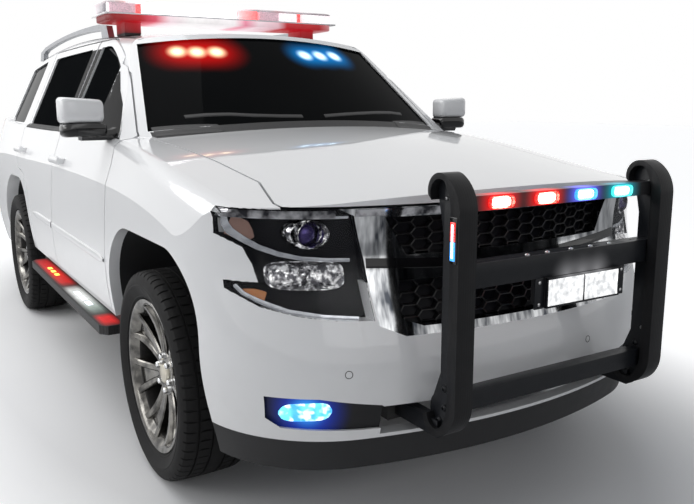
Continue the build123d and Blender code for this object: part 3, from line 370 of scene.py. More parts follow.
def spoke_row(radius, face, outer, inner, web):
    half_row = [(outer - 0.004, face - 0.034), (outer, face - 0.030), (outer, face - 0.005),
                (outer - 0.0045, face), (inner + 0.004, face - 0.001), (inner, face - 0.005),
                (inner * 0.86, face - web), (0.0, face - web)]
    row = half_row + [(-across, out) for across, out in reversed(half_row[:-1])] + [half_row[0]]
    reach = [sqrt(max(radius * radius - across * across * 0.85, 0)) for across, out in row]
    return [Vector((out, along, across)) for (across, out), along in zip(row, reach)]


def sliced(out, radius):
    """Whether the cuts between tread blocks cross this point of the section."""
    return radius > CUTS_FROM and (abs(out) > 0.0885 or 0.045 <= abs(out) < 0.079)


STANDS_FOR = {"tread": "tyre", "spoked_rim": "rim"}
for end, axle in AXLES.items():
    for side, sign in (("left", 1), ("right", -1)):
        tread, rim, cap, nuts = [bmesh.new() for _ in range(4)]
        rows = []
        for pitch in range(PITCHES):
            for share, cut in ((0.0, 0), (0.035, CUT_DEPTH), (0.165, CUT_DEPTH), (0.20, 0)):
                turn = Matrix.Rotation(2 * pi * (pitch + share) / PITCHES, 3, "X")
                rows.append([turn @ Vector((out, r - cut * sliced(out, r), 0))
                             for out, r in tyre_section])
        woven(tread, rows + rows[:1])
        spun(rim, RIM_SECTION, 96)
        # Faces inboard of BARREL_END take the barrel's painted shade.
        for face in rim.faces:
            face.material_index = face.calc_center_median().x < BARREL_END
        spun(rim, HUB_SECTION, 64)
        for k in range(SPOKES):
            turn = Matrix.Rotation(FIRST_SPOKE + 2 * pi * k / SPOKES, 3, "X")
            woven(rim, [[turn @ point for point in spoke_row(*row)] for row in SPOKE])
        bmesh.ops.holes_fill(rim, edges=[e for e in rim.edges if e.is_boundary], sides=40)
        spun(cap, CAP_SECTION, 40, closed=False)
        for k in range(NUTS):
            turn = Matrix.Rotation(FIRST_SPOKE + 2 * pi * k / NUTS, 4, "X")
            spun(nuts, NUT_SECTION, 6, turn @ Matrix.Translation((0, NUT_CIRCLE, 0)), closed=False)
        to_corner = (Matrix.Translation((sign * WHEEL_OUT, axle, TYRE_RADIUS))
                     @ Matrix.Diagonal((sign, 1, 1, 1)))
        for name, bm, materials, slot, sharp in (
                ("tread", tread, tyre_rubber, "tyre", 28),
                ("spoked_rim", rim, [bronze_alloy, barrel_painted_shade], "alloy", 30),
                ("hub_cap", cap, cap_metal, "alloy", 35),
                ("wheel_nuts", nuts, chrome, "chrome", 35)):
            bmesh.ops.transform(bm, matrix=to_corner, verts=bm.verts)
            corner = f"{end}_{side}"
            piece = fitted(f"{name}_{corner}", bm, materials, slot, f"wheel_{corner}", sharp)
            if name in STANDS_FOR:
                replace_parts(piece, f"{STANDS_FOR[name]}_{corner}")

# ---------------------------------------------------------------- window glass
# Laminated windshield and tempered panes, tinted nearly black. Six visor lamps hang behind the
# windshield's top, and their red and blue spills over its inside.
VISOR_RED = [(-0.486, 1.992, 1.693), (-0.394, 1.963, 1.693), (-0.297, 1.944, 1.694)]
VISOR_BLUE = [(0.197, 1.923, 1.691), (0.300, 1.941, 1.692), (0.405, 1.968, 1.694)]


def at(x, station, z):
    """A point given by its station behind the front bumper."""
    return Vector((x, station - STATION_ZERO, z))


def halo(place, centre, reach, power=2.0):
    """1 at a lamp, falling smoothly to 0 this far away."""
    away = place.node("VectorMath", {"operation": "DISTANCE"}, {0: place, 1: centre}, "Value")
    return (1 - away.between(0.0, reach)) ** power


def spill(place, lamps):
    """Light of lamps on what stands round them: rows of centre, reach and colour."""
    light = (0.0, 0.0, 0.0)
    for centre, reach, colour in lamps:
        light = halo(place, centre, reach).mix(light, colour)
    return light


def tint(name, gloss, **more):
    """Nearly black glass."""
    return surface(name, [0.3], (0.0035, 0.004, 0.0045), (0.006, 0.0065, 0.007),
                   (0.15, 0.03, 0.015), Specular_IOR_Level=gloss, Alpha=0.975, **more)


dark_glass = tint("dark_glass", 0.0)
VISOR_SPILLS = [
    (at(*spot), reach, colour) for spots, reach, colour in
    ((VISOR_RED, 0.190, (0.85, 0.004, 0.003)), (VISOR_BLUE, 0.150, (0.0, 0.34, 1.0)),
     (VISOR_RED, 0.066, (4.2, 3.4, 2.0)), (VISOR_BLUE, 0.060, (3.0, 4.2, 4.4)))
    for spot in spots]
windshield_glass = tint("windshield_glass", 0.006, Emission_Strength=1.0,
                        more=lambda place: {"Emission_Color": spill(place, VISOR_SPILLS)})
dress(windshield_glass, "fixed_glass")
dress(dark_glass, "liftgate_glass", *(f"door_glass_{end}_{side}" for end in ("front", "rear")
                                      for side in ("left", "right")))


def glowing(name, colour, strength, lens=(0.4, 0.4, 0.4)):
    """A lit diode lens: brighter over its chips than between them."""
    material, shader, place = lookup(name, Roughness=0.15, Emission_Strength=strength)
    chips = grain(place, 0.006, 1.0).between(0.3, 0.6)
    feed(shader, Base_Color=chips.mix(lens, colour),
         Emission_Color=chips.mix([0.75 * c for c in colour], colour))
    return material


red_glow = glowing("red_glow", (1.0, 0.02, 0.015), 1.6)
blue_glow = glowing("blue_glow", (0.03, 0.35, 1.0), 1.5)
hot_red = glowing("hot_red", (1.0, 0.62, 0.45), 14.0)
hot_blue = glowing("hot_blue", (0.55, 0.85, 1.0), 12.0)


def block(bm, low, high, round_off, segments=3):
    """A box from corner to corner with its edges rounded."""
    made = bmesh.ops.create_cube(bm, size=1.0)["verts"]
    low, high = Vector(low), Vector(high)
    bmesh.ops.scale(bm, vec=high - low, verts=made)
    bmesh.ops.translate(bm, vec=(high + low) / 2, verts=made)
    edges = list({edge for vertex in made for edge in vertex.link_edges})
    out = bmesh.ops.bevel(bm, geom=edges, offset=round_off, offset_type="OFFSET",
                          segments=segments, profile=0.5, affect="EDGES", material=-1)
    return list(set(out["verts"]) | {v for v in made if v.is_valid})


trim_black = surface("trim_black", [0.05, 3.0], (0.01, 0.01, 0.011), (0.017, 0.017, 0.018),
                     (0.05, 3.0, 0.15, 0.45), (0.0016, 2.0, 0.0003), Specular_IOR_Level=0.4)
LACQUER = [0.1], (0.003, 0.003, 0.0035), (0.006, 0.006, 0.007), (0.05, 0.06, 0.10)
gloss_black = surface("gloss_black", *LACQUER, Coat_Weight=0.5, Coat_Roughness=0.03,
                      Specular_IOR_Level=0.3)
film_black = surface("film_black", *LACQUER, Specular_IOR_Level=0.01)

for hue, spots, hot in (("red", VISOR_RED, hot_red), ("blue", VISOR_BLUE, hot_blue)):
    for name, low, high, material, slot in (
            ("heads", (-0.027, -0.006, -0.011), (0.027, 0.004, 0.011), hot, "lamp_lens"),
            ("case", (-0.046, 0.003, -0.017), (0.046, 0.020, 0.017), trim_black, "trim_black")):
        bm = bmesh.new()
        for spot in spots:
            made = block(bm, low, high, 0.0049, segments=4)
            tilt = (Matrix.Translation(at(*spot) + Vector((0, 0.028, -0.012)))
                    @ Matrix.Rotation(radians(-30), 4, "X"))
            bmesh.ops.transform(bm, matrix=tilt, verts=made)
        fitted(f"visor_lamp_{name}_{hue}", bm, material, slot)

# ---------------------------------------------------------------- trim on the doors
# Black films on the door frames between the panes and rubber sweeps along the belt. The doors'
# impact strips, below them, are laid on in the same way.


def skin_of(*names):
    """What trims are laid on: the surfaces of CAD nodes."""
    points, faces = [], []
    for name in names:
        mesh = nodes[name].data
        first = len(points)
        points += [vertex.co.copy() for vertex in mesh.vertices]
        faces += [[first + k for k in face.vertices] for face in mesh.polygons]
    return BVHTree.FromPolygons(points, faces)


def dropped(skin, start, way, proud):
    """Where a point meets a skin on its way, raised above it."""
    hit, normal = skin.ray_cast(start, way)[:2]
    if normal.dot(way) > 0:
        normal = -normal
    return hit + normal * proud


def film(skin, rows, way, proud, thick, bm=None):
    """A sheet of this thickness laid on a skin through rows of points."""
    bm = bmesh.new() if bm is None else bm
    made = woven(bm, [[dropped(skin, point, Vector(way), proud) for point in row] for row in rows])
    faces = list({face for vertex in made for face in vertex.link_faces})
    bmesh.ops.solidify(bm, geom=faces, thickness=thick)
    return bm


def steps(first, last, count):
    return [first + (last - first) * k / count for k in range(count + 1)]


def paired(name, bm, materials, slot, body="body", **finish):
    """A right hand piece and its mirror image on the left; SIDE in the body's name is filled in."""
    other = bm.copy()
    bmesh.ops.scale(other, vec=(-1, 1, 1), verts=other.verts)
    return {side: fitted(f"{name}_{side}", mesh, materials, slot, body.replace("SIDE", side),
                         **finish) for side, mesh in (("right", bm), ("left", other))}


RIGHT, BACK, DOWN, NOSEWARD = (1, 0, 0), (0, 1, 0), (0, 0, -1), (0, -1, 0)
OUT = -1.4                  # start of what is dropped on the right side
PANE_HEIGHTS = steps(1.300, 1.728, 12)
BELT_HEIGHTS = (1.284, 1.290, 1.298, 1.303)
# Stations of the films' edges, at the belt and at the roof.
for end, low_edge, high_edge in (("front", (2.629, 2.697), (2.615, 2.681)),
                                 ("rear", (2.711, 2.787), (2.711, 2.787))):
    rows = [[at(OUT, low + (high - low) * k / 12, z) for k, z in enumerate(PANE_HEIGHTS)]
            for low, high in zip(steps(*low_edge, 3), steps(*high_edge, 3))]
    bm = film(skin_of(f"door_{end}_right"), rows, RIGHT, 0.0012, 0.0035)
    paired(f"pillar_film_{end}", bm, film_black, "gloss_black", f"door_{end}_SIDE")
for end, first, last in (("front", 1.66, 2.690), ("rear", 2.718, 3.83)):
    rows = [[at(OUT, s, z) for z in BELT_HEIGHTS] for s in steps(first, last, 24)]
    bm = film(skin_of(f"door_{end}_right", f"door_glass_{end}_right"), rows, RIGHT, 0.003, 0.006)
    paired(f"belt_sweep_{end}", bm, trim_black, "trim_black", f"door_{end}_SIDE")

# White impact strips low on the doors, tapered at both ends: (height, proud) of their section.
STRIP_SECTION = [(-0.019, 0.0), (-0.0185, 0.004), (-0.014, 0.0062), (0.012, 0.0066),
                 (0.0165, 0.004), (0.017, 0.0)]
STRIP_FRONT, STRIP_REAR = 1.575, 3.270
for end, first, last in (("front", STRIP_FRONT, 2.690), ("rear", 2.718, STRIP_REAR)):
    bm, skin, rows = bmesh.new(), skin_of(f"door_{end}_right"), []
    for s in steps(first, last, 20):
        middle = 0.762 + 0.010 * (s - STRIP_FRONT) / 1.7
        taper = min(1.0, 0.35 + (s - STRIP_FRONT) / 0.10, 0.35 + (STRIP_REAR - s) / 0.16)
        rows.append([dropped(skin, at(OUT, s, middle + half * taper), Vector(RIGHT), proud)
                     for half, proud in STRIP_SECTION])
    woven(bm, rows)
    bmesh.ops.holes_fill(bm, edges=[e for e in bm.edges if e.is_boundary])
    paired(f"impact_strip_{end}", bm, white_paint, "paint_white", f"door_{end}_SIDE", sharp=50)

# ---------------------------------------------------------------- headlamps
# Each lamp is a clear moulded lens over a black housing: a projector in a chrome bezel over a
# chrome bowl, silver light guides, amber reflectors and a bright strip along the top.
clear_lens = surface("clear_lens", [0.1], (0.6, 0.62, 0.65), (0.68, 0.7, 0.72),
                     (0.05, 0.03, 0.01), Metallic=1.0, more=lambda place: {
                         "Alpha": place.node("Fresnel", None, {"IOR": 1.38}) * 0.12 + 0.004})
housing_black = surface("housing_black", [0.05], (0.004, 0.004, 0.006), (0.009, 0.009, 0.012),
                        (0.02, 0.1, 0.25), Specular_IOR_Level=0.08)
silver_guide = surface("silver_guide", [0.03, 1.0], (0.26, 0.27, 0.3), (0.6, 0.62, 0.65),
                       (0.03, 0.1, 0.12), Metallic=0.85)
amber = surface("amber", [0.004], (0.42, 0.13, 0.02), (0.56, 0.2, 0.04), None,
                (0.003, 0.0005), Roughness=0.25, Coat_Weight=0.5)
brown_reflex = surface("brown_reflex", [0.004], (0.17, 0.085, 0.065), (0.25, 0.14, 0.11), None,
                       (0.003, 0.0005), Roughness=0.35)
projector_glass = surface("projector_glass", [0.05], (0.015, 0.012, 0.06), (0.05, 0.03, 0.16),
                          (0.05, 0.03, 0.04), Metallic=0.6)
# Chrome of the top strips: its mottle from near black to bright is painted reflection.
dark_chrome_painted_reflections = surface("dark_chrome_painted_reflections", [0.05, 3.0, 0.38, 0.62], (0.03, 0.03, 0.035),
                      (0.46, 0.46, 0.48), (0.03, 3.0, 0.06, 0.06), Metallic=1.0)
# Painted reflection: the reflectors' chrome is mottled from dark to near white; the cells are a
# bump.
fluted_chrome = surface("fluted_chrome", [0.02, 2.0, 0.42, 0.64], (0.08, 0.08, 0.09),
                        (0.9, 0.9, 0.91), (0.03, 0.05, 0.05), Metallic=1.0,
                        more=lambda place: {"Normal": relief(place.node("TexVoronoi", {
                            "feature": "F1"}, {"Vector": place, "Scale": 90.0}), 0.0015)})
HOUSING_DEPTH = 0.060
PROJECTOR = (-0.712, 1.040)
BOWL = (-0.726, 0.915)
# Rows of (x, z, width) along a lamp's face, from its outer corner inward.
UPPER_GUIDE = [(-0.920, 1.098, 0.011), (-0.919, 1.072, 0.016), (-0.909, 1.048, 0.018),
               (-0.886, 1.028, 0.015), (-0.850, 1.004, 0.012), (-0.800, 0.984, 0.009),
               (-0.745, 0.972, 0.007), (-0.670, 0.966, 0.006), (-0.605, 0.964, 0.005)]
LOWER_GUIDE = [(-0.906, 0.882, 0.007), (-0.889, 0.858, 0.009), (-0.862, 0.842, 0.010),
               (-0.840, 0.832, 0.010), (-0.790, 0.812, 0.010), (-0.700, 0.797, 0.009),
               (-0.600, 0.788, 0.008)]
BROWN = [(-0.913, 1.066, 0.058), (-0.903, 1.063, 0.060), (-0.890, 1.055, 0.060),
         (-0.878, 1.040, 0.044), (-0.866, 1.026, 0.024)]
AMBER = [(-0.893, 0.866, 0.010), (-0.882, 0.860, 0.026), (-0.868, 0.857, 0.034),
         (-0.852, 0.853, 0.034), (-0.843, 0.850, 0.032)]


def welded(name):
    """A copy of a CAD node's mesh with its seams merged."""
    bm = bmesh.new()
    bm.from_mesh(nodes[name].data)
    bmesh.ops.remove_doubles(bm, verts=bm.verts, dist=0.00005)
    return bm


def faced(name, side):
    """The forward face of one side of a node that was cut out of the body's wall."""
    bm = welded(name)
    rest = [face for face in bm.faces if face.normal.y > -0.05 or abs(face.normal.z) > 0.8
            or face.calc_center_median().x * side < 0]
    bmesh.ops.delete(bm, geom=rest, context="FACES")
    return bm


def ahead(x, z):
    """Where what is dropped on the nose starts."""
    return Vector((x, -3, z))


def ribbon(bm, path, depth, thick, across=2):
    """A strip behind a headlamp's face, along rows of (x, z, width)."""
    rows = []
    for k, (x, z, width) in enumerate(path):
        before, after = path[max(k - 1, 0)], path[min(k + 1, len(path) - 1)]
        along = Vector((after[0] - before[0], 0, after[1] - before[1])).normalized()
        side = Vector((-along.z, 0, along.x)) * width / 2
        rows.append([ahead(x, z) + side * t for t in steps(-1, 1, across)])
    film(lamp_skin, rows, BACK, -depth, thick, bm)


lamp_skin = skin_of("headlamps")
for side, hand in ((-1, "right"), (1, "left")):
    bm = faced("headlamps", side)
    bmesh.ops.solidify(bm, geom=bm.faces[:], thickness=0.003)
    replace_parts(fitted(f"headlamp_lens_{hand}", bm, clear_lens, "lamp_lens"), "headlamps")
    bm = faced("headlamps", side)
    bm.normal_update()
    places = {tuple(vertex.co): -vertex.normal * HOUSING_DEPTH for vertex in bm.verts}
    front = bm.faces[:]
    pushed = bmesh.ops.extrude_face_region(bm, geom=front)["geom"]
    for vertex in [item for item in pushed if isinstance(item, bmesh.types.BMVert)]:
        vertex.co += places[tuple(vertex.co)]
    bmesh.ops.delete(bm, geom=[face for face in front if face.is_valid], context="FACES")
    bmesh.ops.solidify(bm, geom=bm.faces[:], thickness=0.0015)
    fitted(f"headlamp_housing_{hand}", bm, housing_black, "gloss_black")


def in_lamp(x, z, depth):
    return dropped(lamp_skin, ahead(x, z), Vector(BACK), 0) + Vector((0, depth, 0))


def dish(bm, spot, section, wide, tall, squareness):
    """Rings of (forward, radius) round a spot of the lamp, at an even depth behind its face."""
    turns = [2 * pi * k / 48 for k in range(49)]
    shape = [[copysign(abs(u) ** squareness, u) for u in (cos(turn), sin(turn))] for turn in turns]
    woven(bm, [[in_lamp(spot[0] + u * radius * wide, spot[1] + v * radius * tall, 0.047 - forward)
                for u, v in shape] for forward, radius in section])


BEZEL = [(0.004, 0.0360), (0.014, 0.0370), (0.026, 0.0400), (0.032, 0.0440), (0.028, 0.0490),
         (0.010, 0.0530), (-0.006, 0.0550)]
DISH = [(0.030, 0.0500), (0.029, 0.0475), (0.012, 0.0400), (0.000, 0.0290), (-0.007, 0.0150),
        (-0.009, 0.0005)]
bm = bmesh.new()
facing = Matrix.Rotation(radians(-90), 4, "Z")
centre = Matrix.Translation(in_lamp(*PROJECTOR, 0.048)) @ facing
dish(bm, PROJECTOR, BEZEL, 1.14, 0.92, 1.0)
spun(bm, [(0.000, 0.0345), (0.024, 0.0350), (0.028, 0.0370), (0.026, 0.0390), (0.000, 0.0400)],
     48, centre, closed=False)
dish(bm, BOWL, DISH, 2.10, 0.88, 0.5)
spun(bm, [(-0.010, 0.010), (0.012, 0.009), (0.020, 0.006), (0.022, 0.0)], 24,
     Matrix.Translation(in_lamp(*BOWL, 0.045)) @ facing, closed=False)
paired("headlamp_reflectors", bm, fluted_chrome, "chrome")
bm = bmesh.new()
spun(bm, [(0.0, 0.0345), (0.010, 0.0330), (0.018, 0.0280), (0.024, 0.0200), (0.027, 0.0100),
          (0.028, 0.0)], 40, centre, closed=False)
paired("headlamp_projector", bm, projector_glass, "dark_glass")
bm = bmesh.new()
ribbon(bm, UPPER_GUIDE, 0.014, 0.006)
ribbon(bm, LOWER_GUIDE, 0.008, 0.006)
ribbon(bm, [(x, 1.096, 0.004) for x in steps(-0.926, -0.612, 16)], 0.004, 0.004)
paired("headlamp_guides", bm, silver_guide, "chrome")
for name, rows, depth, material in (("headlamp_brown_reflex", BROWN, 0.016, brown_reflex),
                                    ("headlamp_amber", AMBER, 0.012, amber)):
    bm = bmesh.new()
    ribbon(bm, rows, depth, 0.004, across=6)
    paired(name, bm, material, "lamp_lens")
bm = bmesh.new()
ribbon(bm, [(x, 1.1065, 0.020) for x in steps(-0.919, -0.650, 20)], -0.0015, 0.005, 4)
paired("headlamp_top_strip", bm, dark_chrome_painted_reflections, "chrome", sharp=50)

# ---------------------------------------------------------------- grille
# A plated surround with two openings, and one moulded black mesh of long hexagons behind them.
# A black band runs between the two bright bars; the badge's place is bare.
dress(housing_black, "grille_mesh")
bright_trim, shader, place = lookup("bright_trim", Metallic=1.0)
# Painted reflection: long dark and bright streaks across the plating.
reflection_streaks = place.node("TexNoise", None, {"Vector": place.node("Mapping", None, {
    "Vector": place, "Scale": (22.0, 3.0, 5.0)}), "Scale": 1.0, "Detail": 3.0, "Roughness": 0.6})
feed(shader, Base_Color=reflection_streaks.between(0.36, 0.62).mix((0.05, 0.055, 0.065), (0.66, 0.67, 0.68)),
     Roughness=grain(place, 0.01) * 0.06 + 0.05)
dress(bright_trim, "grille_surround")
mesh_black = surface("mesh_black", [0.05], (0.006, 0.006, 0.007), (0.012, 0.012, 0.013),
                     (0.02, 0.1, 0.28), Specular_IOR_Level=0.4)
CELL_ACROSS, CELL_TALL, CELL_SLOPE = 0.076, 0.037, 0.016
COLUMN = CELL_ACROSS - CELL_SLOPE
WEB = 0.0042                # width of the mesh's webs
MESH_MIDDLE, MESH_HALF = 0.918, 0.455
# Each opening: heights that its cells' middles lie between, and those that their corners keep to.
OPENINGS = [(0.735, 0.915, (0.779, 0.886)), (0.955, 1.10, (0.972, 1.086))]
mesh_skin = skin_of("grille_mesh")


def hexagon(x, z, inset):
    """Corners of a cell that is longer than it is tall."""
    across, tall = CELL_ACROSS / 2 - inset * 1.3, CELL_TALL / 2 - inset
    flat = CELL_ACROSS / 2 - CELL_SLOPE - inset * 0.45
    return [Vector((x + a, 0, z + b)) for a, b in ((-across, 0), (-flat, tall), (flat, tall),
                                                   (across, 0), (flat, -tall), (-flat, -tall))]


def on_mesh(point, low, high, depth):
    """The point brought to this height before the mesh, whose edge stands for what lies past it."""
    x, hit = point.x, None
    while hit is None:
        hit = mesh_skin.ray_cast(ahead(x, min(max(point.z, low), high)), Vector(BACK))[0]
        x *= 0.97
    return Vector((point.x, hit.y - depth, point.z))


bm = bmesh.new()
for column in range(-8, 9):
    for row in range(-6, 6):
        x, z = column * COLUMN, MESH_MIDDLE + (row + (column % 2) / 2) * CELL_TALL
        for low, high, edges in OPENINGS:
            if abs(x) > MESH_HALF or not low < z < high:
                continue
            rings = [[bm.verts.new(on_mesh(corner, *edges, depth))
                      for corner in hexagon(x, z, inset)]
                     for inset, depth in ((0.0, 0.004), (0.0, 0.020), (WEB / 2, 0.022),
                                          (WEB / 2 + 0.0008, 0.004))]
            for outer, inner in zip(rings, rings[1:]):
                for k in range(6):
                    after = (k + 1) % 6
                    bm.faces.new((outer[k], outer[after], inner[after], inner[k]))
fitted("grille_hex_mesh", bm, mesh_black, "gloss_black", sharp=25)

# Two films on the surround: the black band rises outwards, the strip lies under the hood.
grille_skin = skin_of("grille_surround")
rows = [[ahead(x, 0.905 + 0.057 * abs(x) + t) for t in (0.0, 0.007, 0.021, 0.028)]
        for x in steps(-0.560, 0.560, 48)]
fitted("grille_black_band", film(grille_skin, rows, BACK, 0.0012, 0.003), gloss_black,
       "gloss_black", sharp=50)
rows = [[ahead(x, z) for z in (1.0985, 1.103, 1.112, 1.1175)] for x in steps(-0.592, 0.592, 48)]
fitted("grille_top_strip", film(grille_skin, rows, BACK, 0.0015, 0.003), dark_chrome_painted_reflections, "chrome",
       sharp=50)

# ---------------------------------------------------------------- fog lamps and lower nose
# Black bezels in the bumper's corners. Each holds a small reflector lamp lit blue, which
# washes over its bezel.
FOG_X, FOG_Z = -0.760, 0.499
fog_skin = skin_of("fog_lamps")
fog_centre = dropped(fog_skin, ahead(FOG_X, FOG_Z), Vector(BACK), 0.0)
FOG_SPILLS = [(Vector((-fog_centre.x, -fog_centre.y, fog_centre.z)), reach, colour)
              for reach, colour in ((0.150, (0.004, 0.07, 1.0)), (0.075, (0.05, 0.6, 1.0)))]
# The place's absolute value makes one spill serve both sides.
fog_bezel = surface("fog_bezel", [0.05], (0.008, 0.008, 0.009), (0.014, 0.014, 0.015),
                    (0.02, 0.15, 0.3), Specular_IOR_Level=0.3, Emission_Strength=1.0,
                    more=lambda place: {"Emission_Color": spill(place.node(
                        "VectorMath", {"operation": "ABSOLUTE"}, {0: place}), FOG_SPILLS)})
dress(fog_bezel, "fog_lamps")
fog_blue, shader, place = lookup("fog_blue", Roughness=0.15, Emission_Strength=1.25)
beads = grain(place, 0.022, 1.0, 0.46, 0.66)
cells = grain(place, 0.05, 1.0, 0.40, 0.60)
feed(shader, Base_Color=beads.mix((0.2, 0.5, 0.6), (0.7, 0.8, 0.8)),
     Emission_Color=beads.mix(cells.mix((0.0, 0.3, 1.0), (0.12, 0.78, 1.0)), (0.85, 1.0, 1.0)))
rows = []
for u in steps(-1, 1, 16):
    tall = 0.029 * sqrt(max(1 - abs(u) ** 4.5, 0.02))
    rows.append([ahead(FOG_X + 0.066 * u, FOG_Z + 0.006 * u + tall * v) for v in steps(-1, 1, 10)])
paired("fog_lamp", film(fog_skin, rows, BACK, 0.003, 0.003), fog_blue, "lamp_lens")
dress(trim_black, "front_valance", "rockers", "wheel_liners")

# Parking sensors pressed into the bumper, each in a thin ring.
bumper_skin = skin_of("front_bumper")
bm, ring = bmesh.new(), bmesh.new()
for x, z in ((-0.652, 0.621), (-0.300, 0.600), (0.300, 0.600), (0.652, 0.621)):
    hit, normal = bumper_skin.ray_cast(ahead(x, z), Vector(BACK))[:2]
    stand = Matrix.Translation(hit) @ normal.to_track_quat("X", "Y").to_matrix().to_4x4()
    spun(bm, [(-0.004, 0.0105), (0.0005, 0.0100), (0.0012, 0.0)], 24, stand, closed=False)
    spun(ring, [(-0.004, 0.0128), (0.0006, 0.0126), (0.0006, 0.0106), (-0.004, 0.0104)], 24, stand)
fitted("parking_sensors", bm, white_paint, "paint_white")
fitted("parking_sensor_rings", ring, trim_black, "trim_black")

# ---------------------------------------------------------------- push bar
# Two plates in black powder coat edged with ribbed rubber, a folded channel and a lower bar
# between them. A row of four warning lamps, a flood lamp and side markers are bolted on.
LED_HEADS = [(-0.270, "red"), (-0.086, "red"), (0.085, "white"), (0.255, "teal")]
LED_Z, LED_FRONT = 1.150, -0.118
SPILLS = {"red": (2.2, 0.01, 0.01), "white": (0.3, 0.32, 2.2), "teal": (0.0, 0.75, 1.0)}
LED_SPILLS = [(at(x, LED_FRONT, LED_Z), 0.105, SPILLS[hue]) for x, hue in LED_HEADS]
FLOOD_SPILLS = [(at(x, -0.125, 0.895), 0.080, (0.24, 0.24, 0.25)) for x in (0.02, 0.09, 0.16)]


def waves(coordinate, rate):
    """Even ridges along a coordinate, from -1 to 1."""
    turned = coordinate * rate
    return turned.maths("SINE", turned)


powder_black = surface(
    "powder_black", [0.04, 4.0], (0.007, 0.008, 0.01), (0.013, 0.014, 0.017), (0.03, 0.12, 0.28),
    (0.001, 2.0, 0.00012), Specular_IOR_Level=0.22, Emission_Strength=1.0,
    more=lambda place: {"Emission_Color": spill(place, LED_SPILLS + FLOOD_SPILLS)})
pad_rubber = surface(
    "pad_rubber", [0.05], (0.008, 0.008, 0.009), (0.015, 0.015, 0.016), (0.02, 0.15, 0.32),
    Specular_IOR_Level=0.18, more=lambda place: {
        "Normal": relief(waves(axes(place)[0], 2 * pi / 0.0085) * 0.5 + 0.5, 0.00012)})
bar_case = surface(
    "bar_case", [0.04], (0.01, 0.01, 0.011), (0.018, 0.018, 0.02), (0.02, 0.15, 0.32),
    Specular_IOR_Level=0.35, Emission_Strength=1.0,
    more=lambda place: {"Emission_Color": spill(place, LED_SPILLS)})
bolt_steel = surface("bolt_steel", [0.004], (0.35, 0.35, 0.36), (0.5, 0.5, 0.5),
                     (0.002, 0.15, 0.25), Metallic=0.9)


def softened(name, width, material, slot, segments=4):
    """Replaces a CAD node by its own form with round edges."""
    bm = welded(name)
    bmesh.ops.dissolve_limit(bm, angle_limit=radians(0.5), verts=bm.verts, edges=bm.edges)
    hard = [e for e in bm.edges if e.is_manifold and e.calc_face_angle(0) > radians(50)]
    bmesh.ops.bevel(bm, geom=hard, offset=width, offset_type="OFFSET", segments=segments,
                    profile=0.5, affect="EDGES", clamp_overlap=True)
    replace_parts(fitted(f"{name}_soft_edged", bm, material, slot), name)


softened("push_bar_frame", 0.002, powder_black, "gloss_black", segments=2)
softened("push_bar_pads", 0.013, pad_rubber, "pad_rubber")
dress(bar_case, "push_bar_lights")
teal_glow = glowing("teal_glow", (0.05, 0.85, 0.70), 1.4)
cold_white = glowing("cold_white", (0.78, 0.86, 1.0), 2.6)
EDGES_LIT = {"red": red_glow, "white": blue_glow, "teal": teal_glow}
CORES_LIT = {"red": hot_red, "white": cold_white, "teal": cold_white}
for name, half, tall, proud, glows in (("rim", 0.047, 0.0175, 0.003, EDGES_LIT),
                                       ("core", 0.034, 0.0125, 0.0045, CORES_LIT)):
    for hue, glow in glows.items():
        bm = bmesh.new()
        for x, colour in LED_HEADS:
            if colour == hue:
                block(bm, at(x - half, LED_FRONT - proud, LED_Z - tall),
                      at(x + half, LED_FRONT + 0.004, LED_Z + tall), tall * 0.80, 5)
        fitted(f"warning_lamp_{name}_{hue}", bm, glow, "lamp_lens")

# Flood lamp: a black bezel round two bright reflector cells, with a bracket at each side.
LAMP_LEFT, LAMP_RIGHT, LAMP_LOW, LAMP_HIGH = -0.071, 0.253, 0.807, 0.892
BEZEL_WIDE = 0.006
DIVIDER_HALF = 0.002
LENS_FRONT, LENS_SINK = -0.1300, 0.005
flood_white, shader, place = lookup("flood_white", Emission_Strength=1.0, Roughness=0.2)
flutes = waves(axes(place)[0], 260.0) * 0.5 + 0.5
bright = grain(place, 0.02, 2.0, 0.35, 0.65)
feed(shader, Base_Color=bright.mix((0.6, 0.6, 0.6), (0.9, 0.9, 0.9)),
     Emission_Color=(bright * 0.75 + flutes * 0.25).mix((0.38, 0.39, 0.40), (1.0, 1.0, 0.99)))
bm = bmesh.new()
middle = (LAMP_LEFT + LAMP_RIGHT) / 2
for low, high in ((LAMP_LEFT, middle - DIVIDER_HALF), (middle + DIVIDER_HALF, LAMP_RIGHT)):
    made = bmesh.ops.create_grid(bm, x_segments=24, y_segments=10, size=0.5)["verts"]
    for vertex in made:
        u, v = vertex.co.x * 2, vertex.co.y * 2
        vertex.co = at((low + high) / 2 + u * (high - low) / 2,
                       LENS_FRONT + LENS_SINK * (1 - u * u) * (1 - v * v),
                       (LAMP_LOW + LAMP_HIGH) / 2 + v * (LAMP_HIGH - LAMP_LOW) / 2)
bmesh.ops.solidify(bm, geom=bm.faces[:], thickness=0.001)
fitted("flood_lamp_lens", bm, flood_white, "lamp_lens")
bm = bmesh.new()
left, right = LAMP_LEFT - BEZEL_WIDE, LAMP_RIGHT + BEZEL_WIDE
low, high = LAMP_LOW - BEZEL_WIDE, LAMP_HIGH + BEZEL_WIDE
for x0, x1, z0, z1 in ((left, right, low, LAMP_LOW), (left, right, LAMP_HIGH, high),
                       (left, LAMP_LEFT, low, high), (LAMP_RIGHT, right, low, high),
                       (middle - DIVIDER_HALF, middle + DIVIDER_HALF, LAMP_LOW, LAMP_HIGH)):
    block(bm, at(x0, -0.1330, z0), at(x1, -0.120, z1), 0.0012, 2)
for x0, x1 in ((-0.118, -0.080), (0.262, 0.292)):
    block(bm, at(x0, -0.122, 0.800), at(x1, -0.116, 0.899), 0.002, 2)
fitted("flood_lamp_frame", bm, powder_black, "gloss_black")


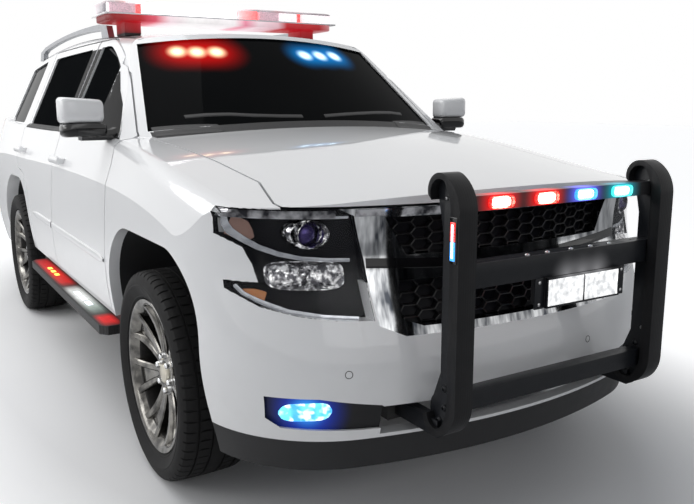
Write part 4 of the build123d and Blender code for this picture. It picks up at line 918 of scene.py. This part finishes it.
def bolt(bm, place, out, radius=0.009, tall=0.006):
    """A domed button head with a socket, its axis pointing out."""
    turn = Vector(out).to_track_quat("X", "Z").to_matrix().to_4x4()
    head = [(0.0, 1.0), (0.35, 1.0), (0.8, 0.75), (1.0, 0.42), (0.45, 0.38), (0.45, 0.0)]
    spun(bm, [(tall * rise, radius * wide) for rise, wide in head], 12,
         Matrix.Translation(place) @ turn, closed=False)


# Bolts on the channel, on the flood lamp's brackets and through the upright plates.
CHANNEL_TOP = 0.974
PLATE_OUTER, PLATE_INNER = 0.435, 0.425
bm, feet = bmesh.new(), bmesh.new()
for x in (-0.141, -0.055, 0.049, 0.139, 0.230):
    bolt(bm, at(x, -0.104, CHANNEL_TOP), (0, 0, 1))
for x in (-0.100, 0.278):
    for z in (0.885, 0.815):
        bolt(bm, at(x, -0.122, z), NOSEWARD, 0.006, 0.004)
for sign in (-1, 1):
    for face, out in ((PLATE_OUTER, sign), (PLATE_INNER, -sign)):
        for station, z, radius in ((-0.095, 1.167, 0.008), (-0.075, 1.167, 0.006),
                                   (-0.108, 0.656, 0.007)):
            bolt(bm, at(sign * face, station, z), (out, 0, 0), radius)
        for station, z in ((-0.085, 0.595), (-0.085, 0.535), (-0.060, 0.490)):
            bolt(feet, at(sign * face, station, z), (out, 0, 0), 0.011, 0.008)
fitted("push_bar_bolts", bm, bolt_steel, "chrome")
fitted("push_bar_foot_bolts", feet, powder_black, "chassis_black")

# Side markers: a slim lamp on each upright's outer face, red over blue, with a white core.
for name, low, high, round_off, material, slot in (
        ("case", (-0.4660, -0.158, 0.990), (-0.4625, -0.126, 1.122), 0.0016, gloss_black,
         "gloss_black"),
        ("red", (-0.4685, -0.152, 1.054), (-0.4650, -0.132, 1.108), 0.0016, red_glow, "lamp_lens"),
        ("blue", (-0.4685, -0.152, 0.998), (-0.4650, -0.132, 1.052), 0.0016, blue_glow,
         "lamp_lens"),
        ("core", (-0.4700, -0.146, 1.006), (-0.4675, -0.138, 1.102), 0.0012, cold_white,
         "lamp_lens")):
    bm = bmesh.new()
    block(bm, at(*low), at(*high), round_off)
    paired(f"side_marker_{name}", bm, material, slot)

# ---------------------------------------------------------------- roof light bar
# A clear moulded shell over a row of lamp modules, the middle ones lit white and red ones beside
# them. The black base under it is washed red at its ends and pale pink between.
BAR_FRONT, BAR_REAR, BAR_SPLIT, BAR_TOP = 2.460, 2.770, 1.908, 1.972


def lit_middle(place):
    """Clear where it is seen square on, and cloudy over the white modules."""
    x = axes(place)[0]
    glow = x.between(-0.50, -0.34) * x.between(0.20, 0.02)
    return {"Alpha": place.node("Fresnel", None, {"IOR": 1.45}) * 1.4 + 0.18 + glow * 0.45,
            "Emission_Color": glow.mix((0.05, 0.03, 0.035), (0.95, 0.90, 0.92))}


def washed(place):
    """The modules' light on the base, from one end of the bar to the other."""
    x, y, z = axes(place)
    wash = z.between(1.812, 1.905) ** 0.35
    bands = place.node("ValToRGB", {"stops": [
        (0.00, (0.20, 0.003, 0.004)), (0.13, (0.50, 0.005, 0.010)), (0.19, (0.80, 0.10, 0.16)),
        (0.25, (1.0, 0.80, 0.86)), (0.33, (1.0, 0.98, 0.98)), (0.52, (1.0, 0.95, 0.97)),
        (0.57, (0.90, 0.28, 0.40)), (0.63, (0.95, 0.74, 0.80)), (0.72, (0.80, 0.50, 0.56)),
        (0.76, (0.50, 0.008, 0.015)), (0.92, (0.42, 0.005, 0.010)), (1.00, (0.60, 0.30, 0.32))]},
        {"Fac": x.between(-0.70, 0.70)})
    return {"Emission_Color": (wash * (grain(place, 0.05) * 0.3 + 0.8)).mix((0, 0, 0), bands)}


bar_shell = surface("bar_shell", [0.1], (0.82, 0.80, 0.81), (0.90, 0.88, 0.89), more=lit_middle,
                    Roughness=0.08, IOR=1.45, Emission_Strength=1.0)
softened("light_bar_lens", 0.016, bar_shell, "lamp_lens", segments=5)
bar_base = surface("bar_base", [0.05], (0.01, 0.01, 0.011), (0.02, 0.02, 0.022),
                   (0.02, 0.15, 0.35), more=washed, Specular_IOR_Level=0.4, Emission_Strength=1.0)
softened("light_bar_base", 0.006, bar_base, "gloss_black", segments=2)
pink_grey = glowing("pink_grey", (0.62, 0.42, 0.48), 0.75, (0.3, 0.25, 0.27))
bar_white = glowing("bar_white", (1.0, 0.98, 0.99), 2.8)
pale_lens = glowing("pale_lens", (0.95, 0.88, 0.90), 0.9, (0.6, 0.6, 0.6))
# Modules across the front, of each material from x to x; the same modules look backwards.
MODULES = {
    "red": (red_glow, [(-0.533, -0.508), (0.068, 0.182), (0.446, 0.464)]),
    "white": (bar_white, [(-0.500, -0.366), (-0.362, -0.228), (-0.224, -0.090), (-0.086, 0.050)]),
    "pink": (pink_grey, [(-0.677, -0.538), (0.190, 0.319)]),
    "pale": (pale_lens, [(-0.688, -0.680), (0.326, 0.440), (0.475, 0.600), (0.606, 0.686)])}
for name, (material, spans) in MODULES.items():
    bm = bmesh.new()
    for low, high in spans:
        for near, far in ((BAR_FRONT + 0.010, BAR_FRONT + 0.040),
                          (BAR_REAR - 0.040, BAR_REAR - 0.010)):
            block(bm, at(low, near, BAR_SPLIT + 0.004), at(high, far, BAR_TOP - 0.012),
                  min(0.004, (high - low) * 0.3), 2)
    fitted(f"light_bar_{name}_modules", bm, material, "lamp_lens")
# A silver spine between the two rows, and the pale seam where shell and base meet.
bm = bmesh.new()
block(bm, at(-0.682, BAR_FRONT + 0.045, BAR_SPLIT + 0.002),
      at(0.682, BAR_REAR - 0.045, BAR_TOP - 0.008), 0.006)
fitted("light_bar_spine", bm, silver_guide, "chrome")
bm = bmesh.new()
block(bm, at(-0.703, BAR_FRONT - 0.003, BAR_SPLIT - 0.005),
      at(0.703, BAR_REAR + 0.003, BAR_SPLIT + 0.003), 0.002, 2)
fitted("light_bar_seam", bm, white_paint, "paint_white")

# ---------------------------------------------------------------- side mirrors
# A rounded white cap over a black base, a flat glass behind, and a foot on the door's sail
# patch.
mirror_glass = surface("mirror_glass", [0.08], (0.45, 0.47, 0.49), (0.5, 0.52, 0.54),
                       (0.05, 0.02, 0.02), Metallic=1.0)


def shell(bm, sections):
    """Bridges closed rings of points and caps both ends."""
    rings = [[bm.verts.new(point) for point in ring] for ring in sections]
    for ring, following in zip(rings, rings[1:]):
        for k in range(len(ring)):
            after = (k + 1) % len(ring)
            bm.faces.new((ring[k], ring[after], following[after], following[k]))
    bm.faces.new(rings[0])
    bm.faces.new(rings[-1][::-1])


def rounded(x_low, x_high, z_low, z_high, corner, station, skew=0.0):
    """A rectangle with round corners in front view; skew lowers its top towards the door."""
    ring = []
    left, right, low, high = x_low + corner, x_high - corner, z_low + corner, z_high - corner
    for turned, (cx, cz) in enumerate(((right, high), (left, high), (left, low), (right, low))):
        for turn in steps(pi / 2 * turned, pi / 2 * (turned + 1), 6):
            x, z = cx + corner * cos(turn), cz + corner * sin(turn)
            if z > (z_low + z_high) / 2:
                z += skew * (x - x_low) / (x_high - x_low)
            ring.append(at(x, station, z))
    return ring


# Stations of the cap from its nose back: station, inset of its outline and corner radius.
CAP = [(1.6740, 0.050, 0.026), (1.6755, 0.035, 0.028), (1.680, 0.020, 0.026), (1.690, 0.009, 0.022),
       (1.705, 0.003, 0.020), (1.730, 0.000, 0.019), (1.765, 0.001, 0.019)]
bm = bmesh.new()
shell(bm, [rounded(-1.122 + inset, -0.935 - inset * 0.4, 1.350 + inset * 0.5, 1.464 - inset * 0.45,
                   corner, station, -0.012) for station, inset, corner in CAP])
caps = paired("mirror_cap", bm, white_paint, "paint_white", "door_front_SIDE", sharp=50)
for side, piece in caps.items():
    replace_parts(piece, f"mirror_{side}")
bm = bmesh.new()
shell(bm, [rounded(-1.116 + inset, -0.925 - inset * 0.3, 1.290 + inset * 0.3, 1.3505,
                   min(corner, 0.024), station) for station, inset, corner in CAP])
# Foot reaching inwards to the door.
shell(bm, [[at(x, s, z) for s, z in ((1.690, 1.276), (1.752, 1.276), (1.760, 1.290), (1.752, high),
                                     (1.690, high), (1.682, 1.290))]
           for x, high in ((-1.040, 1.300), (-0.960, 1.318), (-0.905, 1.322), (-0.886, 1.330))])
paired("mirror_base", bm, gloss_black, "gloss_black", "door_front_SIDE", sharp=50)
# The black sail patch runs up the front edge of the glass: stations and heights of its edge.
SAIL_EDGE = [(1.628, 1.280), (1.657, 1.324), (1.880, 1.451), (2.090, 1.592), (2.250, 1.668),
             (2.513, 1.733)]
rows = []
for z in steps(1.284, 1.722, 26):
    front = next(s0 + (s1 - s0) * (z - z0) / (z1 - z0)
                 for (s0, z0), (s1, z1) in zip(SAIL_EDGE, SAIL_EDGE[1:]) if z <= z1)
    rows.append([at(OUT, s, z) for s in steps(front, max(2.150, front + 0.030), 16)])
bm = film(skin_of("door_front_right", "door_glass_front_right"), rows, RIGHT, 0.0015, 0.003)
paired("mirror_sail", bm, film_black, "gloss_black", "door_front_SIDE", sharp=50)
bm = bmesh.new()
shell(bm, [rounded(-1.110, -0.945, 1.300, 1.452, 0.024, station) for station in (1.7655, 1.7705)])
paired("mirror_glass", bm, mirror_glass, "chrome", "door_front_SIDE")

# ---------------------------------------------------------------- running boards and rails
# Black boards with a ribbed tread and a lit strip along the outer edge. Plain grey rails stand
# on the roof.
BOARD_TOP = 0.4535
LIT_FRONT, LIT_REAR = at(0, 1.60, 0).y, at(0, 3.40, 0).y


def ribbed_and_lit(place):
    """The board's tread, and the light of its lamps on the edge of its upper side."""
    x, y, z = axes(place)
    lamps = place.node("ValToRGB", {"stops": [
        (0.00, (0, 0, 0)), (0.04, (0.75, 0.004, 0.004)), (0.09, (0.80, 0.01, 0.01)),
        (0.13, (0.05, 0.06, 0.05)), (0.20, (0.35, 0.42, 0.38)), (0.32, (0.95, 0.97, 0.95)),
        (0.44, (0.80, 0.82, 0.80)), (0.50, (0.10, 0.02, 0.02)), (0.56, (0.65, 0.004, 0.004)),
        (0.70, (0.85, 0.01, 0.005)), (0.80, (0.80, 0.006, 0.004)), (0.93, (0.55, 0.003, 0.003)),
        (1.00, (0.02, 0, 0))]}, {"Fac": y.between(LIT_FRONT, LIT_REAR)})
    out = x.maths("ABSOLUTE", x)
    top = out.between(0.925, 0.955) * out.between(1.026, 1.000) * (z > BOARD_TOP)
    return {"Normal": relief(waves(x, 2 * pi / 0.011).between(-0.2, 0.8), 0.0010),
            "Emission_Color": (top * (grain(place, 0.02) * 0.5 + 0.6)).mix((0, 0, 0), lamps)}


board_black = surface("board_black", [0.05], (0.014, 0.014, 0.015), (0.028, 0.028, 0.029),
                      (0.01, 0.2, 0.45), more=ribbed_and_lit, Specular_IOR_Level=0.35,
                      Emission_Strength=1.0)
rail_grey = surface("rail_grey", [0.05], (0.36, 0.37, 0.39), (0.44, 0.45, 0.47),
                    (0.01, 0.12, 0.3), Metallic=0.7)
dress(board_black, "side_steps")
dress(rail_grey, "roof_rails")
HIGH = 3                    # start height of what is dropped from above
board_skin = skin_of("side_steps")
hot_amber = glowing("hot_amber", (1.0, 0.72, 0.10), 2.4)
for name, material, spots, half in (("amber", hot_amber, (2.83, 2.93, 3.03), 0.026),
                                    ("white", cold_white, (2.06, 2.18, 2.30), 0.040)):
    bm = bmesh.new()
    for spot in spots:
        rows = [[at(x, station, HIGH) for x in (-0.990, -0.982, -0.974, -0.966)]
                for station in steps(spot - half, spot + half, 4)]
        film(board_skin, rows, DOWN, 0.0015, 0.002, bm)
    paired(f"board_lamps_{name}", bm, material, "lamp_lens")

# ---------------------------------------------------------------- windshield base and roof ditches
# Moulded black cowl, two wipers resting on the glass and a black strip down each roof ditch.
dress(trim_black, "cowl")
WIPERS = {"right": [(-0.600, 1.368), (-0.500, 1.376), (-0.400, 1.378), (-0.300, 1.372),
                    (-0.170, 1.368), (-0.060, 1.366)],
          "left": [(0.060, 1.366), (0.180, 1.372), (0.300, 1.376), (0.420, 1.378),
                   (0.520, 1.376), (0.600, 1.368)]}
for name, path in WIPERS.items():
    rows = [[ahead(x, z + t) for t in (0.0, 0.003, 0.009, 0.012)] for x, z in path]
    fitted(f"wiper_blade_{name}", film(skin_of("fixed_glass"), rows, BACK, 0.003, 0.006),
           trim_black, "trim_black", sharp=60)
# Black ends of the cowl lie over the body beside it.
rows = [[at(-x, 1.440 + 0.36 * (x - 0.5) + reach, HIGH) for reach in steps(0.0, 0.085, 8)]
        for x in steps(0.480, 0.755, 16)]
bm = film(skin_of("body_sides", "cowl", "front_fenders", "fixed_glass"), rows, DOWN, 0.0015, 0.003)
paired("cowl_end", bm, trim_black, "trim_black", sharp=60)
rows = [[at(x, station, HIGH) for x in (-0.640, -0.633, -0.620, -0.612)]
        for station in steps(2.120, 4.60, 40)]
bm = film(skin_of("roof_panel", "body_sides"), rows, DOWN, 0.0012, 0.0025)
paired("roof_ditch", bm, trim_black, "trim_black", sharp=60)

# ---------------------------------------------------------------- tail lamps and liftgate
# Red lenses with a clear band, a blank plate in a black frame, a bright handle strip, a wiper
# under the spoiler and a high lamp.
tail_red, shader, place = lookup("tail_red", Coat_Weight=1.0, Coat_Roughness=0.03, Roughness=0.3)
x, y, z = axes(place)
clear_band = z.between(1.128, 1.131) * z.between(1.205, 1.202)
flutes = waves(z, 2 * pi / 0.008) * 0.5 + 0.5
feed(shader, Base_Color=clear_band.mix(flutes.mix((0.20, 0.004, 0.006), (0.34, 0.010, 0.012)),
                                       (0.62, 0.62, 0.63)), Normal=relief(flutes, 0.0004))
dress(tail_red, "tail_lamps")
plate_blank = surface("plate_blank", [0.03], (0.62, 0.63, 0.62), (0.70, 0.71, 0.70),
                      (0.01, 0.1, 0.35), Metallic=0.2)


def behind(x, z):
    """Where what is dropped on the tail starts."""
    return Vector((x, 3.2, z))


def patch(skin, x_low, x_high, z_low, z_high, proud, thick, bm=None):
    """A rectangle in rear view, laid on a skin."""
    rows = [[behind(x, z) for z in steps(z_low, z_high, 6)] for x in steps(x_low, x_high, 16)]
    return film(skin, rows, NOSEWARD, proud, thick, bm)


gate_skin = skin_of("liftgate", "liftgate_glass")
for name, box, proud, thick, material, slot in (
        ("plate_frame", (-0.175, 0.175, 0.835, 1.015), 0.003, 0.005, gloss_black, "gloss_black"),
        ("number_plate_rear", (-0.152, 0.152, 0.852, 1.000), 0.006, 0.002, plate_blank, "chrome"),
        ("gate_bright_strip", (-0.560, 0.560, 1.105, 1.135), 0.004, 0.006, chrome, "chrome"),
        ("high_brake_lamp", (-0.200, 0.200, 1.695, 1.712), 0.003, 0.004, tail_red, "tail_lens")):
    fitted(name, patch(gate_skin, *box, proud, thick), material, slot, "liftgate", sharp=60)
rows = [[behind(x, 1.648 - 0.10 * abs(x - 0.05) + t) for t in (0.0, 0.004, 0.010, 0.014)]
        for x in steps(0.05, 0.42, 10)]
fitted("rear_wiper", film(gate_skin, rows, NOSEWARD, 0.003, 0.008), trim_black, "trim_black",
       "liftgate", sharp=60)
rear_bumper_skin = skin_of("rear_bumper")
rows = [[at(x, station, HIGH) for station in steps(5.105, 5.150, 4)]
        for x in steps(-0.62, 0.62, 24)]
fitted("rear_step_pad", film(rear_bumper_skin, rows, DOWN, 0.0015, 0.003), trim_black,
       "trim_black", sharp=60)
bm = bmesh.new()
for middle in (-0.72, 0.72):
    patch(rear_bumper_skin, middle - 0.06, middle + 0.06, 0.455, 0.480, 0.002, 0.003, bm)
fitted("rear_reflectors", bm, tail_red, "tail_lens", sharp=60)
exhaust_steel = surface("exhaust_steel", [0.05], (0.30, 0.29, 0.28), (0.42, 0.41, 0.39),
                        (0.01, 0.2, 0.3), Metallic=0.9)
PIPE = [(0.0, 0.036), (0.240, 0.036), (0.242, 0.034), (0.240, 0.032), (0.02, 0.032), (0.0, 0.020)]
bm = bmesh.new()
stand = Matrix.Translation(at(-0.62, 4.78, 0.345)) @ Matrix.Rotation(radians(90), 4, "Z")
spun(bm, PIPE, 32, stand)
fitted("exhaust_tip", bm, exhaust_steel, "cast_iron")

# ---------------------------------------------------------------- cabin
# Cloth seats with crowned cushions, bolsters and head rests over dark plastic bases; a grained
# dashboard with a wheel.
seat_cloth, shader, place = lookup("seat_cloth", Specular_IOR_Level=0.2)
x, y, z = axes(place)
weave = waves(x, 1900.0) * waves(z + y, 1900.0) * 0.5 + 0.5
feed(shader, Base_Color=grain(place, 0.05, 4.0).mix((0.050, 0.051, 0.055), (0.085, 0.086, 0.090)),
     Roughness=weave * 0.1 + 0.80, Normal=relief(weave, 0.0006))
dash_plastic = surface("dash_plastic", [0.05], (0.02, 0.02, 0.022), (0.034, 0.034, 0.036),
                       (0.01, 0.1, 0.55), (0.0015, 3.0, 0.0004), Specular_IOR_Level=0.3)
dress(dash_plastic, "dashboard")


def cushion(bm, size, crown, place, cuts=14, softness=0.55):
    """A stuffed pad: round edges, a crowned face and sides that pull in between its corners."""
    before = set(bm.verts)
    corners = bmesh.ops.create_cube(bm, size=2.0)["verts"]
    edges = list({edge for vertex in corners for edge in vertex.link_edges})
    bmesh.ops.subdivide_edges(bm, edges=edges, cuts=cuts, use_grid_fill=True)
    made = [vertex for vertex in bm.verts if vertex not in before]
    radius = softness * min(size) / 2
    for vertex in made:
        u, v, w = vertex.co
        waist = 1 - 0.035 * (1 - max(u * u, v * v) ** 2)
        corner = Vector([value * extent / 2 for value, extent in zip((u, v, w), size)])
        flat = [extent / 2 - radius for extent in size]
        inner = Vector([min(max(value, -limit), limit) for value, limit in zip(corner, flat)])
        outer = corner - inner
        if outer.length > 0:
            outer = outer.normalized() * min(outer.length, radius)
        vertex.co = inner + outer
        vertex.co.x *= 1 if abs(w) > 0.9 else waist
        vertex.co.z += crown * (1 - u * u) * (1 - v * v) * (1 if w > 0 else 0.2)
    bmesh.ops.transform(bm, matrix=place, verts=made)


def seat_at(bm, x, width, station, floor_z, lean):
    """Cushion, side bolsters, back, its bolsters and a head rest of one place."""
    def stand(back, up, tip):
        return (Matrix.Translation(at(x, station + back, floor_z + up))
                @ Matrix.Rotation(radians(tip), 4, "X"))

    lie = stand(0.21, 0, -4)
    rise = stand(0.505, 0.315, 90 - lean)
    cushion(bm, (width - 0.10, 0.48, 0.11), 0.016, lie)
    cushion(bm, (width - 0.10, 0.58, 0.085), 0.014, rise)
    for sign in (-1, 1):
        side = Matrix.Translation((sign * (width / 2 - 0.045), 0, 0.012))
        cushion(bm, (0.085, 0.46, 0.115), 0.006, lie @ side, cuts=9, softness=0.85)
        cushion(bm, (0.075, 0.50, 0.095), 0.006, rise @ side, cuts=9, softness=0.85)
    head = stand(0.640, 0.655, 90 - lean * 0.5)
    cushion(bm, (0.250, 0.150, 0.075), 0.010, head, cuts=9, softness=0.8)


# Places: x, width, station, height of the cushion and lean of the back in degrees.
FRONT_SEAT, BENCH_PLACE = (0.44, 2.03, 0.845, 17), (0.42, 3.01, 0.870, 12)
for name, xs, place in (("front_seat_right", [-0.39], FRONT_SEAT),
                        ("front_seat_left", [0.39], FRONT_SEAT),
                        ("rear_bench", [-0.42, 0.0, 0.42], BENCH_PLACE)):
    bm = bmesh.new()
    for x in xs:
        seat_at(bm, x, *place)
    piece = fitted(name, bm, seat_cloth, "seat_cloth", sharp=70)
    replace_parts(piece, "seats")
# Boxes under the seats, and two posts under each head rest.
bm = bmesh.new()
for x, width, first, last in ((-0.39, 0.40, 2.07, 2.45), (0.39, 0.40, 2.07, 2.45),
                              (0.0, 1.26, 3.03, 3.36)):
    block(bm, at(x - width / 2, first, 0.605), at(x + width / 2, last, 0.805), 0.02)
for x, station, z in ((-0.39, 2.655, 1.43), (0.39, 2.655, 1.43), (-0.42, 3.47, 1.44),
                      (0.0, 3.47, 1.44), (0.42, 3.47, 1.44)):
    for post in (x - 0.05, x + 0.05):
        block(bm, at(post - 0.006, station - 0.006, z - 0.06),
              at(post + 0.006, station + 0.006, z + 0.06), 0.004, 2)
fitted("seat_bases", bm, dash_plastic, "dash_plastic")

size = {"cad": [list(cad_low), list(cad_high)]}
size["visual"] = [list(corner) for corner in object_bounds()]
